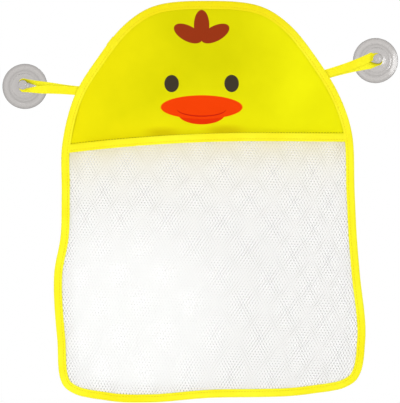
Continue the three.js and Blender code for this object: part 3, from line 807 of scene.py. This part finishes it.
# %% Net tree: one cell
# A rhomb, its middle pushed in and cut away
square = nodes.geo("MeshCircle", {"fill_type": "NGON"}, Vertices=4, Radius=half)
stretch = nodes.combine(1.0, nodes.math("DIVIDE", given["Row"], half), 1.0)
rhomb = nodes.geo("Transform", Geometry=square, Scale=stretch)
pushed = nodes.add("GeometryNodeExtrudeMesh", {"Mesh": rhomb, "Offset Scale": 0.0})
top = pushed["Top"]
shrunk = nodes.geo("ScaleElements", Geometry=pushed["Mesh"], Selection=top, Scale=given["Hole"])
marked = nodes.geo("StoreNamedAttribute", Geometry=shrunk, Name="rim", Value=top)
cell = nodes.geo("DeleteGeometry", {"domain": "FACE", "mode": "ONLY_FACE"}, Geometry=marked, Selection=top)
print("net tree so far:", len(nodes.tree.nodes), "nodes")

# %% Net tree: the whole field
NET_MERGE = 0.05 * MM

# The cells are set on the grid and merged, and the field is stood up to face the front
copies = nodes.geo("InstanceOnPoints", Points=spots, Instance=cell)
real = nodes.geo("RealizeInstances", Geometry=copies)
joined = nodes.geo("MergeByDistance", Geometry=real, Distance=NET_MERGE)
angles = nodes.combine(math.radians(90), given["Turn"])
turn = nodes.add("FunctionNodeEulerToRotation", {"Euler": angles})[0]
field = nodes.geo("Transform", Geometry=joined, Translation=given["Middle"], Rotation=turn)
print("net tree so far:", len(nodes.tree.nodes), "nodes")

# %% Net tree: draped on the carrier
RAY_START_Y = -0.2
RAY_LONG = 0.5


def finish_tree(nodes, shape, paint, result):
    """End a tree with smooth shading and a material."""
    soft = nodes.geo("SetShadeSmooth", Geometry=shape)
    nodes.link(nodes.geo("SetMaterial", Geometry=soft, Material=paint), result)
    return nodes.tree


# Every point drops along Y, and the holes' rims end a little behind the threads
axes = nodes.separate(nodes.geo("InputPosition"))
start = nodes.combine(axes["X"], RAY_START_Y, axes["Z"])
ray = {"Source Position": start, "Ray Direction": (0, 1, 0), "Ray Length": RAY_LONG}
hit = nodes.add("GeometryNodeRaycast", {"Target Geometry": given["Carrier"], **ray})
missed = nodes.add("FunctionNodeBooleanMath", {0: hit["Is Hit"]}, operation="NOT")[0]
trimmed = nodes.geo("DeleteGeometry", Geometry=field, Selection=missed)
side = nodes.math("MULTIPLY_ADD", nodes.geo("InputNamedAttribute", Name="rim"), 2.0, -1.0)
sunk = nodes.combine(0.0, nodes.math("MULTIPLY", side, given["Relief"]))
draped = nodes.geo("SetPosition", Geometry=trimmed, Position=hit["Hit Position"], Offset=sunk)
NET_TREE = finish_tree(nodes, draped, given["Knit"], result["Net"])
print("net tree:", len(NET_TREE.nodes), "nodes")

# %% [markdown]
# ## The two nets
#
# The carrier of each net is a patch between four edges: the mouth, the two sides and the base. The
# pocket's carrier is brought forward by the belly's rule. The two nets are stretched differently, so
# their holes drift in and out of step and give the diamond shimmer that the photograph shows where they
# overlap. The holes' rims carry painted shade, darker beside the binding and lighter at the lower left,
# and painted yellow bounce light warms the yarn under the mouth. The back net's top edge is cut clean.

# %% Net carriers
NET_HELD_INSET = 2.4 * MM
CARRIER_ROWS = 90
CARRIER_COLUMNS = 110


def pocket_patch(top_rise):
    """A grid of (x, z) places over the pocket, up to a line that stands above the mouth's top edge."""
    left, base, right = pouch_sides(NET_HELD_INSET)
    left = even_steps(left[left[:, 1] < mouth_z(left[:, 0]) + top_rise], CARRIER_ROWS)
    right = even_steps(right[right[:, 1] < mouth_z(right[:, 0]) + top_rise], CARRIER_ROWS)
    base = even_steps(base, CARRIER_COLUMNS)
    top_x = np.linspace(left[0, 0], right[0, 0], CARRIER_COLUMNS)
    top = np.column_stack([top_x, mouth_z(top_x) + top_rise])
    u = np.linspace(0, 1, CARRIER_COLUMNS)[None, :, None]
    v = np.linspace(0, 1, CARRIER_ROWS)[:, None, None]
    ruled = (1 - u) * left[:, None] + u * right[:, None] + (1 - v) * top[None] + v * base[None]
    ends_top = (1 - u) * top[0] + u * top[-1]
    ends_base = (1 - u) * base[0] + u * base[-1]
    return ruled - (1 - v) * ends_top - v * ends_base


# %% Net tones and trim
# Strength of the painted hole shade: in the open, at the lower left where the light is strongest, and
# beside the bindings
SHADE_OPEN = 0.86
SHADE_BRIGHT = 0.0
BRIGHT_CENTRE = (-85 * MM, -272 * MM)
BRIGHT_HALF = (140 * MM, 130 * MM)
BRIGHT_STEEP = 2
SEAM_SHADE_REACH = 16 * MM
BOUNCE_YELLOW_MOST = 0.7
BOUNCE_YELLOW_REACH = 20 * MM


def mark_tones(mesh):
    """Store how strong the painted hole shade is, and how much painted yellow bounce light the net takes on
    close under the mouth.
    """
    edge = KDTree(EDGE_STEPS)
    for index, place in enumerate(upright(EDGE, 0.0)):
        edge.insert(place, index)
    edge.balance()
    places = points_of(mesh) * (1, 0, 1)
    away = np.array([edge.find(place)[2] for place in places]) - BINDING_WIDE
    lit = 1 - np.linalg.norm((places[:, (0, 2)] - BRIGHT_CENTRE) / BRIGHT_HALF, axis=1)
    shade = SHADE_OPEN + (SHADE_BRIGHT - SHADE_OPEN) * np.clip(lit * BRIGHT_STEEP, 0, 1)
    store(mesh, "shade", np.maximum(shade, np.clip(1 - away / SEAM_SHADE_REACH, 0, 1)))
    # The painted yellow bounce light fades with the distance under the mouth binding
    below = np.maximum(mouth_z(places[:, 0]) - BINDING_WIDE - places[:, 2], 0)
    store(mesh, "bounce_yellow", BOUNCE_YELLOW_MOST * np.exp(-below / BOUNCE_YELLOW_REACH))


def trim_top(mesh, top_rise):
    """Cut a net along a line over the mouth: cells beyond it go, and threads that cross it end on it."""
    shape = bmesh.new()
    shape.from_mesh(mesh)
    line = {vertex: float(mouth_z(vertex.co.x)) + top_rise for vertex in shape.verts}
    beyond = [face for face in shape.faces if all(vertex.co.z > line[vertex] for vertex in face.verts)]
    bmesh.ops.delete(shape, geom=beyond, context="FACES")
    for vertex in shape.verts:
        vertex.co.z = min(vertex.co.z, line[vertex])
    shape.to_mesh(mesh)
    shape.free()


# %% Growing a net
NET_SPARE = 1.12
NET_TURN = math.radians(3)
NET_RELIEF = 0.12 * MM


def grow(name, start, tree, values):
    """Run a Geometry Nodes tree on an object, and keep the result as a plain mesh in a new piece."""
    modifier = start.modifiers.new(tree.name, "NODES")
    modifier.node_group = tree
    for item in tree.interface.items_tree:
        if item.in_out == "INPUT" and item.name in values:
            modifier[item.identifier] = values[item.name]
    graph = bpy.context.evaluated_depsgraph_get()
    mesh = bpy.data.meshes.new_from_object(start.evaluated_get(graph))
    mesh.name = name
    start.modifiers.remove(modifier)
    bpy.data.objects.remove(start)
    return new_piece(name, mesh)


def knit_onto(name, mesh, knit):
    """Grow a net over a carrier sheet, and give it with the carrier's area less the holes."""
    pitch, row, hole, yarn = knit
    corners = points_of(mesh)
    low, high = corners.min(0), corners.max(0)
    wide, _, tall = (high - low) * NET_SPARE
    values = {"Columns": math.ceil(wide / pitch), "Rows": math.ceil(tall / row), "Pitch": pitch, "Row": row}
    values |= {"Turn": NET_TURN, "Hole": hole, "Relief": NET_RELIEF, "Knit": yarn}
    values["Middle"] = ((low + high) / 2).tolist()
    area = cloth_area(mesh) * (1 - hole**2)
    net = grow(name, new_piece(name + "_carrier", mesh), NET_TREE, values)
    mark_tones(net.data)
    print(f"{name} {len(net.data.polygons)} faces, {area * 1e4:.0f} cm2")
    return net, area


# %% Nets
SEAM_LAP = 8.3 * MM
TRIM_SPARE = 4 * MM
POCKET_TOP_DROP = 0.9 * MM
POCKET_BILLOW = 0.6 * MM
BILLOW_SEEDS = (0.3, 0.8)
# Pitch across, pitch down, the hole's share of a cell, and the yarn
POCKET_KNIT = (3.3 * MM, 3.0 * MM, 0.62, POCKET_YARN)
BACK_KNIT = (3.56 * MM, 2.76 * MM, 0.35, BACK_YARN)

places = pocket_patch(-POCKET_TOP_DROP)
depth = pocket_depth(places[..., 0], places[..., 1])
waves = ripple(places[..., 0], BILLOW_SEEDS[0]) * ripple(places[..., 1], BILLOW_SEEDS[1])
forward = POCKET_SEAM_Y - depth - POCKET_BILLOW * (waves * depth / MOUTH_GAPE)
pocket_carrier = grid_mesh("pocket_carrier", upright(places, forward))
POCKET_NET, POCKET_AREA = knit_onto("pocket_net_knit", pocket_carrier, POCKET_KNIT)

back_carrier = grid_mesh("back_carrier", upright(pocket_patch(SEAM_LAP + TRIM_SPARE), BACK_NET_Y))
BACK_NET, BACK_AREA = knit_onto("back_net_knit", back_carrier, BACK_KNIT)
BACK_NET.data.flip_normals()
trim_top(BACK_NET.data, SEAM_LAP)

# %% [markdown]
# ## Folded tape bindings
#
# A binding is one woven tape folded over the raw edges and sewn through. In section it is a flattened U:
# a round fold, two legs that swell a little, a dip where the stitches pull it in, and a cut edge that is
# pressed down. The same section serves both bindings. The edge binding follows the outline. The mouth
# binding follows the mouth, and its ends run into the edge binding. A short second layer marks where the
# edge tape's ends lap.

# %% Folded section
TAPE_THICK = 0.4 * MM
STITCH_IN = 6.6 * MM
STITCH_DIP = 0.3 * MM
TAPE_WANDER = 0.18 * MM
FOLD_ROUND = 1.4 * MM
FOLD_ARC = np.radians([70, 42, 14])
FRONT = np.array([0.0, -1.0, 0.0])
# A leg's outer skin from its cut edge to the fold: distance from the fold, and height over a flat leg
TAPE_LEG = [
    (BINDING_WIDE, -0.22 * MM),
    (BINDING_WIDE - 0.7 * MM, -0.14 * MM),
    (STITCH_IN + 0.8 * MM, -0.12 * MM),
    (STITCH_IN, -STITCH_DIP),
    (STITCH_IN - 0.9 * MM, -0.06 * MM),
    (4 * MM, 0.08 * MM),
    (2.5 * MM, 0.08 * MM),
]


def tape_section(half, lift=0.0):
    """A folded tape's section, as (inwards, out) points along its outer skin and back along its inner."""
    fold = min(half, FOLD_ROUND)
    front = [(u, half + lift + out) for u, out in TAPE_LEG]
    front += [(fold * (1 - math.cos(a)) - lift, (half + lift) * math.sin(a)) for a in FOLD_ARC]
    outer = np.array(front + [(u, -out) for u, out in reversed(front)])
    ahead = np.gradient(outer, axis=0)
    ahead /= np.linalg.norm(ahead, axis=1)[:, None]
    inner = outer + TAPE_THICK * np.column_stack([-ahead[:, 1], ahead[:, 0]])
    return np.vstack([outer, inner[::-1]])


def fold_over(path, inward, section, seed, thin=1.0):
    """Sections of a folded tape along a path, whose legs wander a little. Thin flattens the front leg."""
    sway = TAPE_WANDER * ripple(lengths_of(path), seed)[:, None, None]
    thin = np.broadcast_to(thin, len(path))[:, None, None]
    u = section[None, :, 0, None]
    out = section[None, :, 1, None]
    out = np.where(out > 0, out * thin, out)
    return path[:, None] + u * inward[:, None] + out * FRONT + sway * (u / BINDING_WIDE) * FRONT


def tape_piece(name, sections, round_path=False):
    return new_piece(name, swept_mesh(name, sections, round_path), TAPE)


# %% Edge binding
EDGE_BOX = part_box("edge_binding")
EDGE_HALF = (EDGE_BOX[1].y - EDGE_BOX[0].y) / 2
EDGE_SEED = 0.4
HEAD_THINNER = 0.3
HEAD_THIN_RUN = 20 * MM
LAP_PLACE = (-100.4 * MM, 29.3 * MM)
LAP_LONG = 15 * MM
LAP_LIFT = 0.6 * MM
EDGE_PATH = upright(EDGE, (EDGE_BOX[0].y + EDGE_BOX[1].y) / 2)
EDGE_IN = upright(EDGE_INWARD, 0.0)


def edge_fold(section):
    """A section along the whole edge, thinner over the head, where there is no pocket in the seam."""
    above_mouth = EDGE[:, 1] - mouth_z(EDGE[:, 0])
    thin = 1 - HEAD_THINNER * np.clip(above_mouth / HEAD_THIN_RUN, 0, 1)
    return fold_over(EDGE_PATH, EDGE_IN, section, EDGE_SEED, thin)


EDGE_TAPE = tape_piece("edge_binding_tape", edge_fold(tape_section(EDGE_HALF)), round_path=True)
near = int(np.argmin(np.linalg.norm(EDGE - LAP_PLACE, axis=1)))
lap_steps = (near + np.arange(int(LAP_LONG / EDGE_STEP))) % EDGE_STEPS
LAP = tape_piece("edge_binding_lap", edge_fold(tape_section(EDGE_HALF, LAP_LIFT))[lap_steps])
print(f"edge tape {lengths_of(EDGE_PATH)[-1] * 1000:.0f} mm")

# %% Mouth binding
MOUTH_HALF = 0.75 * MM
MOUTH_STEPS = 240
MOUTH_END_INSET = 4 * MM
MOUTH_SEED = 0.9

# The mouth's top edge from side to side, just in front of the head panel at its ends
left, _, right = pouch_sides(MOUTH_END_INSET)
ends = [side[np.argmin(np.abs(side[:, 1] - mouth_z(side[:, 0]))), 0] for side in (left, right)]
MOUTH_X = np.linspace(*ends, MOUTH_STEPS)
mouth_y = POCKET_SEAM_Y - pocket_depth(MOUTH_X, mouth_z(MOUTH_X))
MOUTH_PATH = np.column_stack([MOUTH_X, mouth_y, mouth_z(MOUTH_X)])


def mouth_fold(section):
    down = np.broadcast_to([0.0, 0.0, -1.0], MOUTH_PATH.shape)
    return fold_over(MOUTH_PATH, down, section, MOUTH_SEED)


MOUTH_TAPE = tape_piece("mouth_binding_tape", mouth_fold(tape_section(MOUTH_HALF)))
print(f"mouth tape {lengths_of(MOUTH_PATH)[-1] * 1000:.0f} mm")

# %% [markdown]
# ## Hanging tapes
#
# Each hanging tape is one strip: sewn behind the binding, out to the cup, round its neck and back. It
# lies flat at the pouch. At the neck it leans on the cup's bell like a slanting collar: both plies turn
# by the same lean and spread apart, and the front ply stays flat for longer. The strip bends where it
# leaves the pouch.

# %% Hanging tape ribbon
STRAP_THICK = 0.5 * MM
RIBBON_POINTS = 7
WALL = np.array([0.0, 1.0, 0.0])
JOINT_AT = {joint["name"]: np.array(joint["pos_m"]) for joint in frame["joints"]}


def smooth_step(start, end, x):
    t = np.clip((x - start) / (end - start), 0, 1)
    return t * t * (3 - 2 * t)


def strap_axes(side):
    """Where a strap folds, the middle of its cup's neck, its length, and its ways ahead and aside."""
    fold, neck = JOINT_AT[f"{side}_strap_fold"], JOINT_AT[f"{side}_cup_spin"]
    run = (neck - fold) * (1, 0, 1)
    long = np.linalg.norm(run)
    return fold, neck, long, run / long, np.cross(run / long, WALL)


def ribbon_ring(middle, out, wide, width, curl):
    """One section of a strap: its outer skin from edge to edge, then its inner skin back."""
    b = np.linspace(-1, 1, RIBBON_POINTS)
    curve = middle + np.outer(b * width / 2, wide) + np.outer(curl * b * b, out)
    half = STRAP_THICK / 2 * out
    return np.vstack([curve + half, (curve - half)[::-1]])


for side in ("left", "right"):
    print(f"{side} tape reaches {strap_axes(side)[2] * 1000:.1f} mm")

# %% Hanging tape sections
STRAP_WIDE = 9 * MM
STRAP_NECK_WIDE = 6.2 * MM
STRAP_SEWN = 11.9 * MM
# How far out the front ply and the back ply stay flat
STRAP_FLAT = {"left": (32 * MM, 20 * MM), "right": (50 * MM, 44 * MM)}
STRAP_SPREAD = {"left": 1.7, "right": 2.4}
STRAP_SPLAY = 0.6 * MM
STRAP_CURL = 0.4 * MM
PLY_APART = 0.4 * MM
PLY_BOW = 2.2 * MM
NECK_RADIUS = 3.7 * MM
COLLAR_LEAN = math.radians(62)
COLLAR_INNER = NECK_RADIUS + 0.2 * MM
COLLAR_FAR = NECK_RADIUS + 0.7 * MM
COLLAR_BACK = 0.2 * MM
LEG_RINGS = 64
TURN_RINGS = 18


def strap_sections(side):
    """The strap's sections: out along the front leg, round the neck, and back along the other leg."""
    fold, neck, long, ahead, aside = strap_axes(side)
    rise = (neck - fold)[1] + COLLAR_BACK
    beside_neck = COLLAR_INNER + STRAP_NECK_WIDE / 2 * math.cos(COLLAR_LEAN)

    def leaning(lean):
        out = aside * math.sin(lean) - WALL * math.cos(lean)
        wide = aside * math.cos(lean) + WALL * math.sin(lean)
        return out, wide

    def leg(distance, ply, flat_until):
        turned = smooth_step(flat_until, long, distance)
        out, wide = leaning(turned * COLLAR_LEAN)
        share = max(distance / long, 0)
        apart = PLY_APART * (1 - share) + PLY_BOW * math.sin(math.pi * share)
        beside = STRAP_SPLAY + (beside_neck - STRAP_SPLAY) * share ** STRAP_SPREAD[side]
        middle = fold + ahead * distance + WALL * rise * smooth_step(0, long, distance)
        middle = middle + ply * (aside * beside - WALL * apart)
        width = STRAP_WIDE + (STRAP_NECK_WIDE - STRAP_WIDE) * turned
        return ribbon_ring(middle, ply * out, wide, width, STRAP_CURL * turned)

    def turn(angle):
        near, wide = leaning(COLLAR_LEAN)
        out = near * math.cos(angle) + ahead * math.sin(angle)
        away = aside * beside_neck * math.cos(angle) + ahead * COLLAR_FAR * math.sin(angle)
        return ribbon_ring(neck + WALL * COLLAR_BACK + away, out, wide, STRAP_NECK_WIDE, STRAP_CURL)

    front_flat, back_flat = STRAP_FLAT[side]
    distances = np.linspace(-STRAP_SEWN, long, LEG_RINGS)
    rings = [leg(distance, 1, front_flat) for distance in distances]
    rings += [turn(angle) for angle in np.linspace(0, math.pi, TURN_RINGS)[1:-1]]
    rings += [leg(distance, -1, back_flat) for distance in distances[::-1]]
    return np.array(rings)


for side in ("left", "right"):
    fold, _, _, ahead, _ = strap_axes(side)
    strap = tape_piece(f"{side}_hanging_tape", strap_sections(side))
    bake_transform(strap)
    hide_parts(f"{side}_strap_root", f"{side}_strap_loop")
    print(strap.name, len(strap.data.polygons), "faces")

# %% [markdown]
# ## Suction cups
#
# A clear cup is moulded in one: a thin lip, a skirt with a step, a thicker bell, a neck for the tape and
# a knob to pull. It is a body of revolution, so a profile is spun about the wall's normal. The outer line
# runs smoothly through a few radii and heights; the knob is half an ellipse, and the hollow on the wall's
# side a parabola.

# %% Suction cup profile
SEAL_RADIUS = 21 * MM
HOLLOW_DEEP = 3.2 * MM
HOLLOW_RINGS = 12
KNOB_RADIUS = 5.2 * MM
KNOB_HALF_TALL = 3 * MM
KNOB_RINGS = 16
NECK_TOP = 14.4 * MM
WALL_CUTS = np.array([0.33, 0.67, 1.0])
# Radius and height off the wall in millimetres, from the lip to the neck
OUTER_WALL = [
    (25.0, 0.0), (25.0, 0.55), (24.4, 1.0), (22.0, 1.35), (18.6, 2.1),
    (17.5, 2.75), (15.6, 3.2), (14.4, 3.9), (13.6, 5.2), (12.4, 6.4),
    (9.4, 7.5), (6.0, 8.1), (4.2, 8.7), (3.7, 9.6), (3.7, 14.0),
]

share = np.linspace(0, 1, HOLLOW_RINGS)
hollow = np.column_stack([SEAL_RADIUS * share, HOLLOW_DEEP * (1 - share**2)])
keys = np.array(OUTER_WALL) * MM
around = [part[:, None] for part in (keys[:-3], keys[1:-2], keys[2:-1], keys[3:])]
rounded = spline(*around, WALL_CUTS[None, :, None]).reshape(-1, 2)
start = -math.acos(NECK_RADIUS / KNOB_RADIUS)
middle = NECK_TOP - KNOB_HALF_TALL * math.sin(start)
angle = np.linspace(start, math.pi / 2, KNOB_RINGS)
knob = np.column_stack([KNOB_RADIUS * np.cos(angle), middle + KNOB_HALF_TALL * np.sin(angle)])
CUP_PROFILE = np.vstack([hollow, keys[:2], rounded, keys[-1:], knob])
print("cup profile:", len(CUP_PROFILE), "points")

# %% Suction cups
CUP_SIDES = 96
CUP_SHARP_DEGREES = 60
ON_AXIS = 0.01 * MM
# Radius in millimetres, and how dark the vinyl is tinted there: by its thickness, and by painted shade for
# the dark rings that refraction shows at the lip and the steps
VINYL_THICKNESS_AND_SHADE = [
    (0.0, 0.2), (4.6, 0.3), (5.2, 0.6), (7.5, 0.3), (12.4, 0.2), (13.8, 0.4),
    (15.6, 0.25), (17.5, 0.55), (18.8, 0.25), (22.0, 0.15), (24.2, 0.25), (25.0, 1.0),
]


def suction_cup(name, centre):
    shape = bmesh.new()
    angle = np.linspace(0, 2 * math.pi, CUP_SIDES, endpoint=False)
    circle = np.column_stack([np.cos(angle), np.zeros(CUP_SIDES), np.sin(angle)])
    rows = []
    for radius, height in CUP_PROFILE:
        spokes = circle[:1] * 0 if radius < ON_AXIS else circle * radius
        places = centre * (1, 0, 1) - WALL * height + spokes
        rows.append([shape.verts.new(place) for place in places])
    for first, second in zip(rows, rows[1:]):
        for k in range(CUP_SIDES):
            corners = [first[k % len(first)], first[(k + 1) % len(first)]]
            corners += [second[(k + 1) % len(second)], second[k % len(second)]]
            shape.faces.new(list(dict.fromkeys(corners)))
    mesh = bpy.data.meshes.new(name)
    finish_skin(shape, mesh, CUP_SHARP_DEGREES)
    radii = np.linalg.norm((points_of(mesh) - centre)[:, (0, 2)], axis=1) / MM
    # The 'depth' value is the vinyl's thickness together with painted refraction shade
    store(mesh, "depth", np.interp(radii, *np.transpose(VINYL_THICKNESS_AND_SHADE)))
    return new_piece(name, mesh, VINYL)


for side in ("left", "right"):
    cup = suction_cup(f"{side}_clear_cup", JOINT_AT[f"{side}_cup_spin"])
    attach(cup, f"{side}_cup")
    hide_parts(f"{side}_suction_cup")
    print(cup.name, len(cup.data.polygons), "faces")

# %% [markdown]
# ## Sewing thread
#
# Lockstitches show as short raised beads of thread, in rows on both sides of a binding. Geometry Nodes
# follow a path with a fixed stitch length and set one small bead at each step, turned along the path. The
# rows are paths on the tapes' own surface, worked out with the same section as the tapes.

# %% Stitch tree
BEAD_SIDES = 6
BEAD_RINGS = 5

sockets = {"Path": "Geometry", "Pitch": "Float", "Long": "Float", "Thick": "Float", "Thread": "Material"}
nodes, given, result = node_group("stitch_row", "GeometryNodeTree", {"Stitches": "Geometry"}, **sockets)
curve = nodes.geo("MeshToCurve", Mesh=given["Path"])
steps = nodes.geo("ResampleCurve", {"mode": "LENGTH"}, Curve=curve, Length=given["Pitch"])
bead = nodes.geo("MeshUVSphere", Segments=BEAD_SIDES, Rings=BEAD_RINGS, Radius=0.5)
size = nodes.combine(given["Long"], given["Thick"], given["Thick"])
shaped = nodes.geo("Transform", Geometry=bead, Scale=size)
aim = nodes.add("FunctionNodeAlignRotationToVector", {"Vector": nodes.geo("InputTangent")}, axis="X")[0]
copies = nodes.geo("InstanceOnPoints", Points=steps, Instance=shaped, Rotation=aim)
real = nodes.geo("RealizeInstances", Geometry=copies)
STITCH_TREE = finish_tree(nodes, real, given["Thread"], result["Stitches"])
print("stitch tree:", len(STITCH_TREE.nodes), "nodes")

# %% Stitches
STITCH_PITCH = 3.2 * MM
STITCH_LONG = 2.5 * MM
STITCH_THICK = 0.42 * MM
STITCH_PROUD = 0.1 * MM
BEAD_POINTS = BEAD_SIDES * (BEAD_RINGS - 1) + 2
HEM_SEAM_RISE = 0.9 * MM
TACK_HALF = 3.6 * MM
TACK_STEPS = 8
TACK_PLACES = (3 * MM, 9.6 * MM)


def sew(name, lines, thread):
    """Rows of stitches along lines of points. A line whose ends meet repeats its first point."""
    starts = np.cumsum([0] + [len(line) for line in lines])
    edges = [(k, k + 1) for a, b in zip(starts, starts[1:]) for k in range(a, b - 1)]
    mesh = bpy.data.meshes.new(name)
    mesh.from_pydata(np.vstack(lines).tolist(), edges, [])
    values = {"Pitch": STITCH_PITCH, "Long": STITCH_LONG, "Thick": STITCH_THICK, "Thread": thread}
    row = grow(name, new_piece(name + "_path", mesh), STITCH_TREE, values)
    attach(row, "bag")
    print(name, len(row.data.vertices) // BEAD_POINTS, "stitches")


def stitch_lines(fold, half):
    """The front and back rows of a binding, on its two skins."""
    out = half - STITCH_DIP + STITCH_PROUD
    lines = fold(np.array([(STITCH_IN, out), (STITCH_IN, -out)]))
    return [lines[:, 0], lines[:, 1]]


def tack_lines(side):
    """Two short rows across a hanging tape's sewn end, on its back ply."""
    fold, _, _, ahead, aside = strap_axes(side)
    across = np.linspace(-TACK_HALF, TACK_HALF, TACK_STEPS)[:, None]
    ply = fold + WALL * (PLY_APART + STRAP_THICK / 2) - aside * STRAP_SPLAY
    return [ply - ahead * back + across * aside for back in TACK_PLACES]


edge_lines = [np.vstack([line, line[:1]]) for line in stitch_lines(edge_fold, EDGE_HALF)]
sew("edge_stitches", edge_lines, THREAD)
sew("mouth_stitches", stitch_lines(mouth_fold, MOUTH_HALF), THREAD)
# The seam that joins hem and back net has one row on the panel's face and one on the net's back. Its dark
# olive thread also paints the shadow in the gap above the mouth binding.
seam = np.column_stack([MOUTH_X, mouth_z(MOUTH_X) + HEM_SEAM_RISE])
seam_depths = (PANEL_Y - CLOTH_THICK / 2, BACK_NET_Y + CLOTH_THICK / 2)
sew("hem_stitches", [upright(seam, y) for y in seam_depths], HEM_SHADOW_THREAD)
sew("tape_tacks", tack_lines("left") + tack_lines("right"), THREAD)

# %% [markdown]
# ## Riding on the body
#
# Everything sewn to the pouch rides on its body. Each soft piece takes the place of its plain solid, which
# stays in the physics model only.

# %% Put the pieces on their bodies
for piece, node, slot in (
    (PANEL, "head_panel", "yellow_cloth"),
    (POCKET_NET, "pocket_net", "white_net"),
    (BACK_NET, "back_net", "white_net"),
    (EDGE_TAPE, "edge_binding", "yellow_tape"),
    (MOUTH_TAPE, "mouth_binding", "yellow_tape"),
):
    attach(piece, "bag")
    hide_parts(node)
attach(LAP, "bag")


print("declared sheets:", PANEL.name, POCKET_NET.name, BACK_NET.name)
